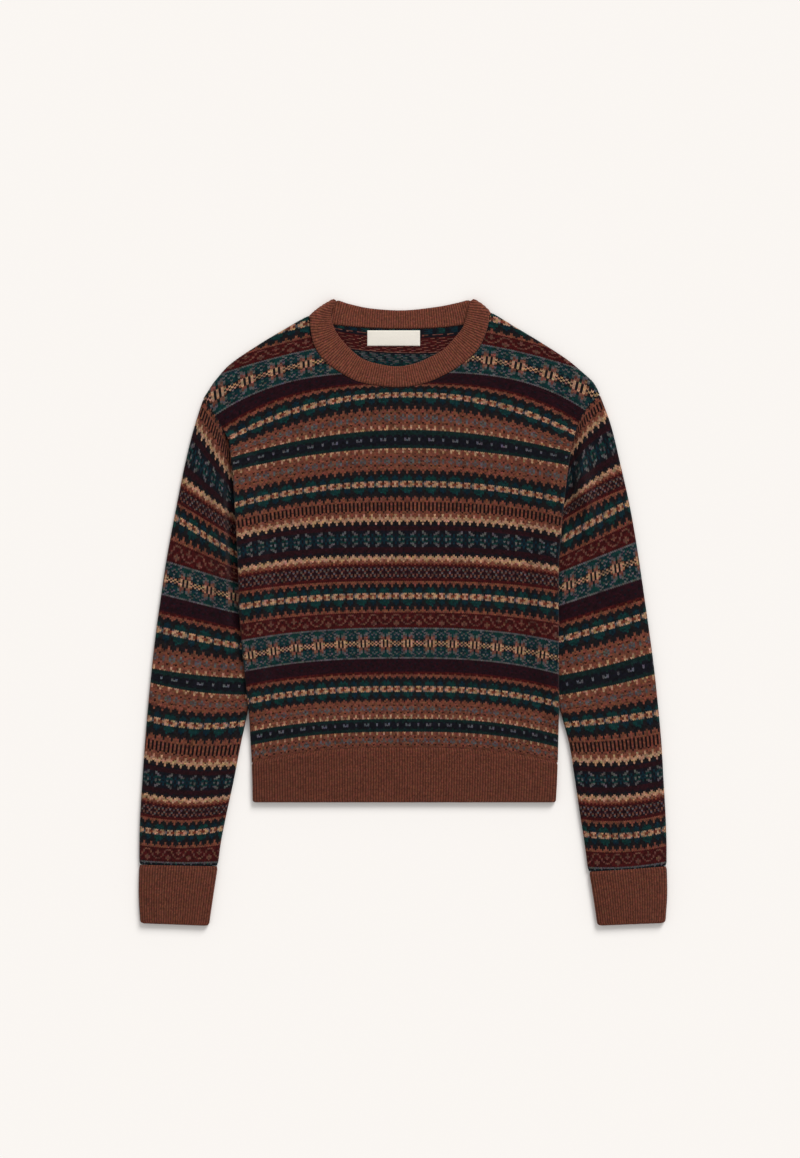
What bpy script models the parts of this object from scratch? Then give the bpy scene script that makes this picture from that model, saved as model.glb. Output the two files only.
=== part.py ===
"""Fair isle jumper laid flat: panels, ribs, sleeves, cuffs, neckband and label, each a closed solid.

Metres, +Z up. The jumper lies on the plane z = 0 with its hem towards -Y and its front upwards.
The back panel lies on the table, the front panel lies on the back, and each sleeve is a flattened
tube beside the body, with its inner edge tucked under the body's side.
"""
import math
from collections import namedtuple
from operator import attrgetter

import bmesh
import bpy


def table(columns, rows):
    """Rows with named columns."""
    row_type = namedtuple("Row", columns)
    return tuple(row_type(*row) for row in rows)


# ---------------------------------------------------------------- driving dimensions

KNIT_WALL = 0.0024          # patterned stranded knit
RIB_WALL = 0.0026           # one-by-one rib of hem, cuffs and neckband
LABEL_WALL = 0.0008
SEAM_GAP = 0.0003           # between neighbouring pieces
SLEEVE_SLIT = 0.0005        # empty slit inside a flattened sleeve
CUFF_SLIT = 0.0004

SLEEVE_HEIGHT = 2 * KNIT_WALL + SLEEVE_SLIT
CUFF_HEIGHT = 2 * RIB_WALL + CUFF_SLIT
TUCK_LIFT = SLEEVE_HEIGHT + 1.5 * SEAM_GAP    # how far a tucked sleeve lifts the body's side
TUCK_MARGIN = 0.007         # full lift reaches this far past the sleeve's inner edge
TUCK_RAMP = 0.015           # and then eases to nothing over this width
TUCK_FADE_UP = 0.036        # above the underarm the lift fades out over this height
TUCK_FADE_DOWN = 0.009      # and below, as the sleeve draws clear by this much

EDGE_ROUND = 0.0026         # side edges of the front are rounded over this width
EDGE_WALL = 0.55            # share of the wall that is left at such an edge
FRONT_SWELL = 0.0014        # how far the middle of the front stands off the back
SWELL_ACROSS = 0.30         # it grows over this share of the half width, in from the sides,
SWELL_ALONG = 0.050         # over this length up from the rib,
SWELL_TOP = 0.245           # and over as much down from here, where the shoulders lie flat
SLEEVE_SWELL = 0.0012       # and the upper layer of a sleeve off the lower one

BAND_FOLD = 0.0026          # radius of the neckband's middle surface where it folds over
BAND_LOOSE = 0.0004         # how far the front half stands off the back
BAND_LOW = RIB_WALL / 2     # height of its middle surface in the back half
BAND_HIGH = KNIT_WALL + SEAM_GAP + BAND_LOOSE + RIB_WALL / 2      # and in the front half
BAND_RISE = 0.30            # the front half rises to its folds over this share of its length
BAND_TIP = 0.0010           # its free edge is rounded off over this length

HEM_Y = -0.2082             # lower edge of the hem rib
HEM_CORNER = 0.0022         # how far its corners are drawn in
RIB_SEAM_MIDDLE = -0.1485   # where the front's knit meets the rib, at the middle
RIB_SEAM_SIDE = -0.1623     # and at the sides, where the courses droop
RIB_SEAM_POWER = 2.6        # how late that droop sets in

LABEL_CENTRE = (-0.0103, 0.3020)
LABEL_SIZE = (0.0580, 0.0170)

# The body's sides from the hem up to the underarm.
SIDES = table(("height", "left_x", "right_x"), (
    (-0.2082, -0.1658, 0.1686),
    (-0.1880, -0.1661, 0.1698),
    (-0.1623, -0.1669, 0.1707),
    (-0.1073, -0.1698, 0.1719),
    (-0.0402, -0.1771, 0.1714),
    (0.0017, -0.1804, 0.1714),
    (0.0578, -0.1815, 0.1715),
    (0.1139, -0.1848, 0.1764),
    (0.1524, -0.1870, 0.1808),
    (0.1880, -0.1913, 0.1867),
))

# The shoulders, from the top of the armhole up to the neckband.
SHOULDER_COLUMNS = ("x", "y")
SHOULDERS = {
    "left": table(SHOULDER_COLUMNS, (
        (-0.2149, 0.2437),
        (-0.2057, 0.2569),
        (-0.1892, 0.2745),
        (-0.1584, 0.2954),
        (-0.1309, 0.3119),
        (-0.1052, 0.3262),
    )),
    "right": table(SHOULDER_COLUMNS, (
        (0.2107, 0.2521),
        (0.2010, 0.2618),
        (0.1799, 0.2793),
        (0.1500, 0.2987),
        (0.1238, 0.3144),
        (0.0984, 0.3296),
    )),
}

# Courses across each flattened sleeve, from the armhole to the cuff: where a course meets the
# outer edge and where it meets the inner edge. The first row is the armhole seam.
COURSE_COLUMNS = ("outer_x", "outer_y", "inner_x", "inner_y")
SLEEVES = {
    "left": table(COURSE_COLUMNS, (
        (-0.2200, 0.2354, -0.1727, 0.1584),
        (-0.2299, 0.2041, -0.1712, 0.1210),
        (-0.2420, 0.1546, -0.1683, 0.0886),
        (-0.2508, 0.1106, -0.1639, 0.0578),
        (-0.2603, 0.0600, -0.1606, 0.0248),
        (-0.2673, 0.0138, -0.1600, -0.0105),
        (-0.2722, -0.0215, -0.1617, -0.0413),
        (-0.2772, -0.0655, -0.1661, -0.0853),
        (-0.2811, -0.1051, -0.1716, -0.1139),
        (-0.2844, -0.1457, -0.1782, -0.1447),
        (-0.2871, -0.1843, -0.1859, -0.1843),
        (-0.2895, -0.2228, -0.1942, -0.2228),
        (-0.2904, -0.2558, -0.2002, -0.2535),
        (-0.2904, -0.2767, -0.2035, -0.2783),
    )),
    "right": table(COURSE_COLUMNS, (
        (0.2167, 0.2404, 0.1727, 0.1612),
        (0.2277, 0.2107, 0.1690, 0.1240),
        (0.2393, 0.1645, 0.1617, 0.0941),
        (0.2508, 0.1128, 0.1584, 0.0600),
        (0.2596, 0.0611, 0.1562, 0.0270),
        (0.2662, 0.0160, 0.1568, -0.0083),
        (0.2712, -0.0192, 0.1595, -0.0391),
        (0.2767, -0.0611, 0.1656, -0.0787),
        (0.2811, -0.1029, 0.1735, -0.1106),
        (0.2849, -0.1457, 0.1824, -0.1436),
        (0.2871, -0.1843, 0.1890, -0.1843),
        (0.2893, -0.2228, 0.1947, -0.2228),
        (0.2904, -0.2558, 0.1996, -0.2547),
        (0.2904, -0.2783, 0.2035, -0.2844),
    )),
}
# The ribbed cuffs, in the same columns.
CUFFS = {
    "left": table(COURSE_COLUMNS, (
        (-0.2904, -0.2777, -0.2035, -0.2793),
        (-0.2909, -0.3108, -0.2085, -0.3119),
        (-0.2893, -0.3414, -0.2134, -0.3442),
    )),
    "right": table(COURSE_COLUMNS, (
        (0.2904, -0.2793, 0.2046, -0.2854),
        (0.2909, -0.3108, 0.2093, -0.3140),
        (0.2889, -0.3412, 0.2138, -0.3440),
    )),
}
# The share of the armhole course that lies in the open, and how far the seam bows to the neck.
ARMHOLE_OPEN_SHARE = {"left": 0.607, "right": 0.681}
ARMHOLE_BOW = {"left": 0.0020, "right": 0.0060}

# The neckband, from the left fold to the right one: its seam with a panel and its free edge.
BAND_COLUMNS = ("seam_x", "seam_y", "free_x", "free_y")
BAND_FRONT = table(BAND_COLUMNS, (
    (-0.1024, 0.3228, -0.0733, 0.3407),
    (-0.1015, 0.3097, -0.0785, 0.3310),
    (-0.0971, 0.2926, -0.0770, 0.3168),
    (-0.0836, 0.2745, -0.0682, 0.3009),
    (-0.0550, 0.2563, -0.0473, 0.2810),
    (-0.0308, 0.2503, -0.0264, 0.2734),
    (-0.0044, 0.2477, -0.0044, 0.2708),
    (0.0187, 0.2510, 0.0154, 0.2748),
    (0.0363, 0.2569, 0.0297, 0.2811),
    (0.0589, 0.2690, 0.0451, 0.2899),
    (0.0781, 0.2844, 0.0583, 0.3042),
    (0.0869, 0.2969, 0.0660, 0.3144),
    (0.0930, 0.3130, 0.0704, 0.3284),
    (0.0952, 0.3266, 0.0744, 0.3414),
))
BAND_BACK = table(BAND_COLUMNS, (
    (-0.1024, 0.3228, -0.0733, 0.3407),
    (-0.0770, 0.3163, -0.0583, 0.3394),
    (-0.0407, 0.3130, -0.0341, 0.3344),
    (0.0011, 0.3119, 0.0011, 0.3322),
    (0.0407, 0.3130, 0.0374, 0.3350),
    (0.0737, 0.3174, 0.0605, 0.3405),
    (0.0952, 0.3266, 0.0744, 0.3414),
))
BAND_SECTIONS = 16          # sections in each half of the band, and neck columns of each panel

# Large soft folds of the front: middle, direction, half length and half width, and height,
# where a trough is below zero.
FOLDS = table(("x", "y", "degrees", "half_length", "half_width", "height"), (
    (-0.128, 0.172, -52.0, 0.060, 0.020, 0.0012),
    (-0.098, 0.118, -38.0, 0.055, 0.022, -0.0011),
    (0.132, 0.178, 50.0, 0.058, 0.021, 0.0011),
    (0.108, 0.112, 34.0, 0.050, 0.020, -0.0012),
    (-0.060, -0.085, 84.0, 0.060, 0.018, 0.0008),
    (0.072, -0.070, 97.0, 0.070, 0.020, 0.0009),
    (0.015, 0.030, 8.0, 0.090, 0.026, -0.0007),
))

SIDE_REACH = 0.24           # a side's curve bends the grid lines over this share of the width
# Where grid lines run: shares of the width outside the neck, heights of the side rows, shares
# of the armhole course, and shares of the width of a flattened tube, which meet the former.
EDGE_SHARES = (0.0, 0.0025, 0.007, 0.026, 0.050, 0.076, 0.104, 0.160, 0.215)
SIDE_HEIGHTS = (-0.1623, -0.141, -0.124, -0.107, -0.085, -0.050, -0.010, 0.035, 0.080,
                0.120, 0.152, 0.172, 0.188)
ARMHOLE_SHARES = (0.50, 0.33, 0.16, 0.04, 0.0)
RIB_ROWS = (0.0, 0.50, 0.94, 1.0)
TUBE_SHARES = (0.16, 0.33, 0.50, 0.67, 0.84)

# How a flattened tube rounds its edges: distance from the edge, and share of the half height.
EdgeStep = namedtuple("EdgeStep", ("distance", "share"))
TUBE_EDGE = (EdgeStep(0.0, 0.0), EdgeStep(0.0009, 0.72), EdgeStep(0.0030, 1.0))
SLIT_EDGE = 0.55            # the slit inside rounds its edges in less room
SWELL_REACH = 0.8           # a sleeve's swell ends this far across it, before its tucked edge
SLEEVE_SWELL_START = 3      # it grows over this many rows of the table from the armhole
SLEEVE_SWELL_END = 2        # and ends over this many at the cuff
SHARP_DEGREES = 40          # edges of the walls sharper than this stay sharp

MATERIALS = {
    "patterned_knit": ((0.055, 0.045, 0.050, 1.0), 0.92),
    "brown_rib": ((0.165, 0.058, 0.034, 1.0), 0.90),
    "woven_label": ((0.780, 0.730, 0.640, 1.0), 0.70),
}


# ---------------------------------------------------------------- small helpers

def ease(share):
    """Smooth step from 0 to 1."""
    share = min(max(share, 0.0), 1.0)
    return share * share * (3.0 - 2.0 * share)


def through(rows, share):
    """Point on the smooth curve through a table's rows; share runs from 0 to 1 over the table."""
    place = min(max(share, 0.0), 1.0) * (len(rows) - 1)
    index = min(int(place), len(rows) - 2)
    part = place - index
    before = rows[max(index - 1, 0)]
    start = rows[index]
    end = rows[index + 1]
    after = rows[min(index + 2, len(rows) - 1)]
    point = []
    for a, b, c, d in zip(before, start, end, after):
        slope = (c - a) * part
        bend = (2 * a - 5 * b + 4 * c - d) * part ** 2
        turn = (3 * b - a - 3 * c + d) * part ** 3
        point.append(b + 0.5 * (slope + bend + turn))
    return point


def between(rows, column, value):
    """A row read between a table's rows, at a value of one of its columns."""
    key = attrgetter(column)
    ordered = sorted(rows, key=key)
    value = min(max(value, key(ordered[0])), key(ordered[-1]))
    for low, high in zip(ordered, ordered[1:]):
        if value <= key(high):
            break
    share = (value - key(low)) / (key(high) - key(low))
    return type(low)(*(a + (b - a) * share for a, b in zip(low, high)))


def side_x(side, height):
    """Where the body's side edge stands at a height."""
    row = between(SIDES, "height", height)
    return row.left_x if side == "left" else row.right_x


def armhole_point(side, share, offset=0.0):
    """Point of the armhole course, moved by offset towards the neck."""
    outer_x, outer_y, inner_x, inner_y = SLEEVES[side][0]
    open_share = ARMHOLE_OPEN_SHARE[side]
    along_x = inner_x - outer_x
    along_y = inner_y - outer_y
    length = math.hypot(along_x, along_y)
    turn = 1.0 if side == "left" else -1.0
    normal_x = -turn * along_y / length
    normal_y = turn * along_x / length
    out = offset + ARMHOLE_BOW[side] * math.sin(math.pi * min(share / open_share, 1.0))
    return (outer_x + along_x * share + normal_x * out, outer_y + along_y * share + normal_y * out)


def tuck_edge(side, height):
    """Where the sleeve's inner edge runs under the body at a height."""
    points = [(row.inner_x, row.inner_y) for row in SLEEVES[side]]
    points += [armhole_point(side, share) for share in ARMHOLE_SHARES]
    return between(table(("x", "y"), points), "y", height).x


def lift(x, y):
    """How far a tucked sleeve lifts the body at a point."""
    height = 0.0
    for side, out in (("left", -1.0), ("right", 1.0)):
        edge = tuck_edge(side, y)
        past = out * (x - edge) + TUCK_MARGIN + TUCK_RAMP
        tuck = out * (side_x(side, y) - edge)
        above = y - SIDES[-1].height - TUCK_MARGIN
        fade = ease(1.0 - above / TUCK_FADE_UP) * ease(1.0 + tuck / TUCK_FADE_DOWN)
        height += TUCK_LIFT * ease(past / TUCK_RAMP) * fade
    return height


def swell(x, y):
    """How far the front stands off the back: a low dome with soft folds on it."""
    half = (side_x("right", y) - side_x("left", y)) / 2
    middle = (side_x("right", y) + side_x("left", y)) / 2
    across = ease((1.0 - abs(x - middle) / half) / SWELL_ACROSS)
    along = ease((y - RIB_SEAM_SIDE) / SWELL_ALONG) * ease((SWELL_TOP - y) / SWELL_ALONG)
    height = FRONT_SWELL
    for fold in FOLDS:
        angle = math.radians(fold.degrees)
        dx = x - fold.x
        dy = y - fold.y
        ahead = (dx * math.cos(angle) + dy * math.sin(angle)) / fold.half_length
        aside = (dy * math.cos(angle) - dx * math.sin(angle)) / fold.half_width
        height += fold.height * math.exp(-ahead * ahead - aside * aside)
    return max(height, 0.0) * across * along


# ---------------------------------------------------------------- building solids

def add_solid(name, points, faces, material):
    """A named object from points and faces, with every face pointing out."""
    mesh = bpy.data.meshes.new(name)
    mesh.from_pydata(points, [], faces)
    shape = bmesh.new()
    shape.from_mesh(mesh)
    bmesh.ops.recalc_face_normals(shape, faces=shape.faces)
    if shape.calc_volume(signed=True) < 0.0:
        bmesh.ops.reverse_faces(shape, faces=shape.faces)
    bmesh.ops.triangulate(shape, faces=shape.faces)
    shape.to_mesh(mesh)
    shape.free()
    mesh.materials.append(material)
    mesh.shade_smooth()
    mesh.set_sharp_from_angle(angle=math.radians(SHARP_DEGREES))
    piece = bpy.data.objects.new(name, mesh)
    bpy.context.collection.objects.link(piece)
    return piece


def add_wall(name, grid, low, high, material):
    """A wall over a grid of plan points, between its lower and upper heights."""
    rows = len(grid)
    columns = len(grid[0])
    count = rows * columns
    points = [(x, y, z) for line, heights in zip(grid, low) for (x, y), z in zip(line, heights)]
    points += [(x, y, z) for line, heights in zip(grid, high) for (x, y), z in zip(line, heights)]
    faces = []
    for r in range(rows - 1):
        for c in range(columns - 1):
            a = r * columns + c
            quad = (a, a + 1, a + columns + 1, a + columns)
            faces.append(quad[::-1])
            faces.append(tuple(count + corner for corner in quad))
    rim = [(0, c) for c in range(columns)]
    rim += [(r, columns - 1) for r in range(1, rows)]
    rim += [(rows - 1, c) for c in range(columns - 2, -1, -1)]
    rim += [(r, 0) for r in range(rows - 2, 0, -1)]
    for (r0, c0), (r1, c1) in zip(rim, rim[1:] + rim[:1]):
        a = r0 * columns + c0
        b = r1 * columns + c1
        faces.append((a, b, count + b, count + a))
    return add_solid(name, points, faces, material)


def add_loop(name, sections, material):
    """A skin over equal closed sections, with the last one joined to the first."""
    per = len(sections[0])
    points = [point for section in sections for point in section]
    faces = []
    for first in range(len(sections)):
        second = (first + 1) % len(sections)
        for k in range(per):
            after = (k + 1) % per
            faces.append((first * per + k, first * per + after, second * per + after, second * per + k))
    return add_solid(name, points, faces, material)


# ---------------------------------------------------------------- body

def neck_rows(half):
    """The band's sections of one half, read evenly along its table."""
    return [through(half, step / (BAND_SECTIONS - 1)) for step in range(BAND_SECTIONS)]


def pushed(point, other, distance):
    """A point moved away from another one by a distance."""
    dx = point[0] - other[0]
    dy = point[1] - other[1]
    length = math.hypot(dx, dy)
    return (point[0] + dx / length * distance, point[1] + dy / length * distance)


def top_edge(neck):
    """Upper edge of a panel, from the left armhole over shoulder, neck and shoulder."""
    left = table(SHOULDER_COLUMNS, (armhole_point("left", 0.0, SEAM_GAP / 2), *SHOULDERS["left"]))
    right = table(SHOULDER_COLUMNS, (armhole_point("right", 0.0, SEAM_GAP / 2), *SHOULDERS["right"]))
    start_x = left[0].x
    width = right[0].x - start_x
    edge = []
    for share in EDGE_SHARES:
        edge.append((share, between(left, "x", start_x + share * width)))
    for step, (seam_x, seam_y, free_x, free_y) in enumerate(neck_rows(neck)):
        if step == 0:
            corner = left[-1]
            edge.append(((corner.x - start_x) / width, corner))
        point = pushed((seam_x, seam_y), (free_x, free_y), SEAM_GAP)
        edge.append(((point[0] - start_x) / width, point))
        if step == BAND_SECTIONS - 1:
            corner = right[-1]
            edge.append(((corner.x - start_x) / width, corner))
    for share in reversed(EDGE_SHARES):
        edge.append((1.0 - share, between(right, "x", start_x + (1.0 - share) * width)))
    return edge


def rib_seam(share):
    """Seam of knit and rib across the body."""
    left = side_x("left", RIB_SEAM_SIDE)
    right = side_x("right", RIB_SEAM_SIDE)
    droop = abs(2.0 * share - 1.0) ** RIB_SEAM_POWER
    return (left + (right - left) * share,
            RIB_SEAM_MIDDLE + (RIB_SEAM_SIDE - RIB_SEAM_MIDDLE) * droop)


def side_points(side):
    """Side edge of a panel from the rib up to the underarm, then the armhole up to the shoulder."""
    points = [(side_x(side, height), height) for height in SIDE_HEIGHTS]
    points[-1] = armhole_point(side, ARMHOLE_OPEN_SHARE[side], SEAM_GAP / 2)
    points += [armhole_point(side, share, SEAM_GAP / 2) for share in ARMHOLE_SHARES]
    return points


def panel_grid(neck):
    """Plan points of a panel, blended from its upper and lower edges and bent by its sides."""
    top = top_edge(neck)
    left = side_points("left")
    right = side_points("right")
    grid = []
    for left_point, right_point in zip(left, right):
        v = (left_point[1] - left[0][1]) / (left[-1][1] - left[0][1])
        line = []
        for u, top_point in top:
            bottom_point = rib_seam(u)
            point = []
            for axis in (0, 1):
                place = (1 - v) * bottom_point[axis] + v * top_point[axis]
                straight_left = (1 - v) * left[0][axis] + v * left[-1][axis]
                straight_right = (1 - v) * right[0][axis] + v * right[-1][axis]
                place += ease(1 - u / SIDE_REACH) * (left_point[axis] - straight_left)
                place += ease(1 - (1 - u) / SIDE_REACH) * (right_point[axis] - straight_right)
                point.append(place)
            line.append(tuple(point))
        grid.append(line)
    return grid


def rounded(line, x, wall):
    """Thickness of a wall at x, rounded off towards the two ends of its grid line."""
    distance = min(x - line[0][0], line[-1][0] - x)
    share = min(max(distance / EDGE_ROUND, 0.0), 1.0)
    return wall * (EDGE_WALL + (1.0 - EDGE_WALL) * math.sqrt(1.0 - (1.0 - share) ** 2))


def add_back(material):
    """Back panel: flat on the table, lifted only where a sleeve lies under its side."""
    grid = panel_grid(BAND_BACK)
    low = [[lift(x, y) for x, y in line] for line in grid]
    high = [[z + KNIT_WALL for z in heights] for heights in low]
    return add_wall("back", grid, low, high, material)


def add_front(material):
    """Front panel: on the back panel, swelling softly, with rounded side and shoulder edges."""
    grid = panel_grid(BAND_FRONT)
    low = [[lift(x, y) + KNIT_WALL + SEAM_GAP + swell(x, y) for x, y in line] for line in grid]
    high = []
    for line, heights in zip(grid, low):
        high.append([z + rounded(line, x, KNIT_WALL) for (x, _), z in zip(line, heights)])
    shoulder = len(EDGE_SHARES)
    columns = range(len(grid[-1]))
    for column in (*columns[:shoulder], *columns[-shoulder:]):
        high[-1][column] = low[-1][column] + KNIT_WALL * EDGE_WALL
    return add_wall("front", grid, low, high, material)


def rib_grid():
    """Plan points of a hem rib, from its seam down to the hem, with slightly rounded corners."""
    grid = []
    for share in RIB_ROWS:
        line = []
        for u, _ in top_edge(BAND_FRONT):
            seam_x, seam_y = rib_seam(u)
            y = seam_y - SEAM_GAP + (HEM_Y - seam_y + SEAM_GAP) * share
            left = side_x("left", y)
            right = side_x("right", y)
            drawn_in = HEM_CORNER if share == 1.0 else 0.0
            left += drawn_in
            right -= drawn_in
            line.append((left + (right - left) * u, y))
        grid.append(line)
    return grid


def add_hem_ribs(material):
    """The two ribs: the back one on the table and the front one on it."""
    grid = rib_grid()
    flat = [[RIB_WALL for _ in line] for line in grid]
    crowned = [[rounded(line, x, RIB_WALL) for x, _ in line] for line in grid]
    ribs = (("hem_rib_back", 0.0, flat), ("hem_rib_front", RIB_WALL + SEAM_GAP, crowned))
    for name, base, walls in ribs:
        low = [[base for _ in line] for line in grid]
        high = [[base + wall for wall in line] for line in walls]
        add_wall(name, grid, low, high, material)


# ---------------------------------------------------------------- sleeves and cuffs

def tube_loop(course, middle, reach, edge_steps, swell_height):
    """Closed loop round a flattened tube where one course crosses it.

    course gives the plan point at a share of the way from the outer edge to the inner one,
    reach is the loop's half height, and edge_steps say how it rounds its two edges.
    """
    width = math.dist(course(0.0), course(1.0))
    steps = list(edge_steps)
    steps += [EdgeStep(share * width, 1.0) for share in TUBE_SHARES]
    steps += [EdgeStep(width - step.distance, step.share) for step in reversed(edge_steps)]
    loop = []
    for step in steps:
        x, y = course(step.distance / width)
        across = min(step.distance / width / SWELL_REACH, 1.0)
        rise = swell_height * math.sin(math.pi * across) * (step.share == 1.0)
        loop.append((x, y, middle + reach * step.share + rise))
    for step in steps[-2:0:-1]:
        x, y = course(step.distance / width)
        loop.append((x, y, middle - reach * step.share))
    return loop


def add_tube(name, courses, height, wall, swells, material):
    """A flattened tube through courses, open at both ends, with its slit inside."""
    slit_steps = [EdgeStep(wall + step.distance * SLIT_EDGE, step.share) for step in TUBE_EDGE]
    outside = []
    inside = []
    for course, rise in zip(courses, swells):
        outside.append(tube_loop(course, height / 2, height / 2, TUBE_EDGE, rise))
        inside.append(tube_loop(course, height / 2, height / 2 - wall, slit_steps, rise))
    return add_loop(name, outside + inside[::-1], material)


def straight_course(row):
    """Course as a straight line between the two edges of a tube."""
    outer_x, outer_y, inner_x, inner_y = row

    def course(share):
        return (outer_x + (inner_x - outer_x) * share, outer_y + (inner_y - outer_y) * share)

    return course


def seam_course(side):
    """Course of the sleeve's end at the armhole, clear of the body by the seam gap."""
    def course(share):
        return armhole_point(side, share, -SEAM_GAP / 2)

    return course


def add_sleeve(side, material):
    """One sleeve: a flattened tube from the armhole seam to the cuff seam."""
    rows = SLEEVES[side]
    courses = [seam_course(side)] + [straight_course(row) for row in rows[1:]]
    last = len(rows) - 1
    swells = []
    for index in range(len(rows)):
        grown = ease(index / SLEEVE_SWELL_START) * ease((last - index) / SLEEVE_SWELL_END)
        swells.append(SLEEVE_SWELL * grown)
    return add_tube("sleeve_" + side, courses, SLEEVE_HEIGHT, KNIT_WALL, swells, material)


def add_cuff(side, material):
    """One ribbed cuff: a short flattened tube."""
    courses = [straight_course(row) for row in CUFFS[side]]
    return add_tube("cuff_" + side, courses, CUFF_HEIGHT, RIB_WALL, [0.0] * len(courses), material)


# ---------------------------------------------------------------- neckband and label

def band_section(seam, free, normal):
    """Section of the band from its seam to its rounded free edge."""
    length = math.dist(seam, free)
    shoulder = [f + (s - f) * BAND_TIP / length for s, f in zip(seam, free)]
    half = [n * RIB_WALL / 2 for n in normal]
    return [
        tuple(p - h for p, h in zip(seam, half)),
        tuple(p - h for p, h in zip(shoulder, half)),
        tuple(free),
        tuple(p + h for p, h in zip(shoulder, half)),
        tuple(p + h for p, h in zip(seam, half)),
    ]


def fold_sections(row, side, ways):
    """Sections round a fold of the band, from one half to the other."""
    seam_x, seam_y, free_x, free_y = row
    length = math.hypot(free_x - seam_x, free_y - seam_y)
    turn = 1.0 if side == "left" else -1.0
    out_x = -turn * (free_y - seam_y) / length
    out_y = turn * (free_x - seam_x) / length
    middle = BAND_LOW + BAND_FOLD
    sections = []
    for degrees in ways:
        angle = math.radians(degrees)
        normal = (math.sin(angle) * out_x, math.sin(angle) * out_y, math.cos(angle))
        seam = (seam_x + BAND_FOLD * normal[0], seam_y + BAND_FOLD * normal[1],
                middle + BAND_FOLD * normal[2])
        free = (free_x + BAND_FOLD * normal[0], free_y + BAND_FOLD * normal[1],
                middle + BAND_FOLD * normal[2])
        sections.append(band_section(seam, free, normal))
    return sections


def add_neckband(material):
    """The band: front half with its outer face up, folds at the shoulders, back half below."""
    sections = []
    top = BAND_LOW + 2 * BAND_FOLD
    last = BAND_SECTIONS - 1
    for step, (seam_x, seam_y, free_x, free_y) in enumerate(neck_rows(BAND_FRONT)):
        near_fold = ease(1.0 - min(step, last - step) / last / BAND_RISE)
        z = BAND_HIGH + (top - BAND_HIGH) * near_fold
        sections.append(band_section((seam_x, seam_y, z), (free_x, free_y, z), (0.0, 0.0, 1.0)))
    sections += fold_sections(BAND_FRONT[-1], "right", (45.0, 90.0, 135.0))
    for seam_x, seam_y, free_x, free_y in reversed(neck_rows(BAND_BACK)):
        seam = (seam_x, seam_y, BAND_LOW)
        free = (free_x, free_y, BAND_LOW)
        sections.append(band_section(seam, free, (0.0, 0.0, -1.0)))
    sections += fold_sections(BAND_FRONT[0], "left", (135.0, 90.0, 45.0))
    return add_loop("neckband", sections, material)


def add_label(material):
    """Blank woven label on the back's inner face, just below the band."""
    x, y = LABEL_CENTRE
    half_x = LABEL_SIZE[0] / 2
    half_y = LABEL_SIZE[1] / 2
    base = KNIT_WALL + SEAM_GAP
    grid = [[(x - half_x, y + way * half_y), (x + half_x, y + way * half_y)] for way in (-1, 1)]
    low = [[base] * len(line) for line in grid]
    high = [[base + LABEL_WALL] * len(line) for line in grid]
    return add_wall("neck_label", grid, low, high, material)


# ---------------------------------------------------------------- the whole jumper

def make_material(name):
    """Plain material of one of the jumper's finishes."""
    colour, roughness = MATERIALS[name]
    material = bpy.data.materials.new(name)
    material.use_nodes = True
    shader = material.node_tree.nodes["Principled BSDF"]
    shader.inputs["Base Color"].default_value = colour
    shader.inputs["Roughness"].default_value = roughness
    material.diffuse_color = colour
    return material


def main():
    for item in list(bpy.data.objects):
        bpy.data.objects.remove(item, do_unlink=True)
    knit = make_material("patterned_knit")
    rib = make_material("brown_rib")
    label = make_material("woven_label")
    add_back(knit)
    add_front(knit)
    add_hem_ribs(rib)
    for side in ("left", "right"):
        add_sleeve(side, knit)
        add_cuff(side, rib)
    add_neckband(rib)
    add_label(label)


main()
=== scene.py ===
"""A fair isle jumper laid flat, knitted stitch by stitch around its solid frame.

Metres, +Z up, hem towards -Y, front upwards. Left and right are as seen from above. The body and
the sleeves are lattices of stitches: a wale is a column of stitches and a course is a row of them,
counted down from the shoulder. Each stitch is two slanted faces, its two legs, in one yarn.
"""
import math
from collections import namedtuple

import bpy
import numpy as np
from bpy.props import FloatProperty, FloatVectorProperty, PointerProperty
from bpy.types import Operator, Panel, PropertyGroup
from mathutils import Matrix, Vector


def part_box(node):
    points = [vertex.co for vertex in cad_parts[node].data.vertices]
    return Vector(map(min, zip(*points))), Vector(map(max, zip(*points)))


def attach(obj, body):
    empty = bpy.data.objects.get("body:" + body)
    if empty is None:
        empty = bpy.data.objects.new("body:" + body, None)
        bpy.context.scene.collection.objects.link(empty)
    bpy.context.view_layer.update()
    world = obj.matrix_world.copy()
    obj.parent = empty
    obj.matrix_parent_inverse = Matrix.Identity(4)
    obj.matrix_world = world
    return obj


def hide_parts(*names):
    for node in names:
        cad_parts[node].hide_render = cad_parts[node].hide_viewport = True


bl_info = {
    "name": "Laid-out Fair Isle Jumper",
    "version": (1, 0, 0),
    "blender": (4, 5, 0),
    "location": "3D View > Sidebar > Jumper",
    "description": "Knits a fair isle jumper stitch by stitch and lays it flat",
    "category": "Object",
}

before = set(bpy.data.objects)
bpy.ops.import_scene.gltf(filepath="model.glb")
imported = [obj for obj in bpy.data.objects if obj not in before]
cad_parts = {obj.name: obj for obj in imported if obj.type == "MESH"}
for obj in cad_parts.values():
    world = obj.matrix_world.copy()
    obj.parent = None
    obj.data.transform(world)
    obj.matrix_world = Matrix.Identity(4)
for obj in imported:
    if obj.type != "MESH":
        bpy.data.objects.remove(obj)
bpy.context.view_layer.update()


def table(columns, *rows):
    """Columns of numbers by name, from rows in the order of the names."""
    return namedtuple("Table", columns)(*np.array(rows, float).T)


# ---------------------------------------------------------------- sizes of the cloth

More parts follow.
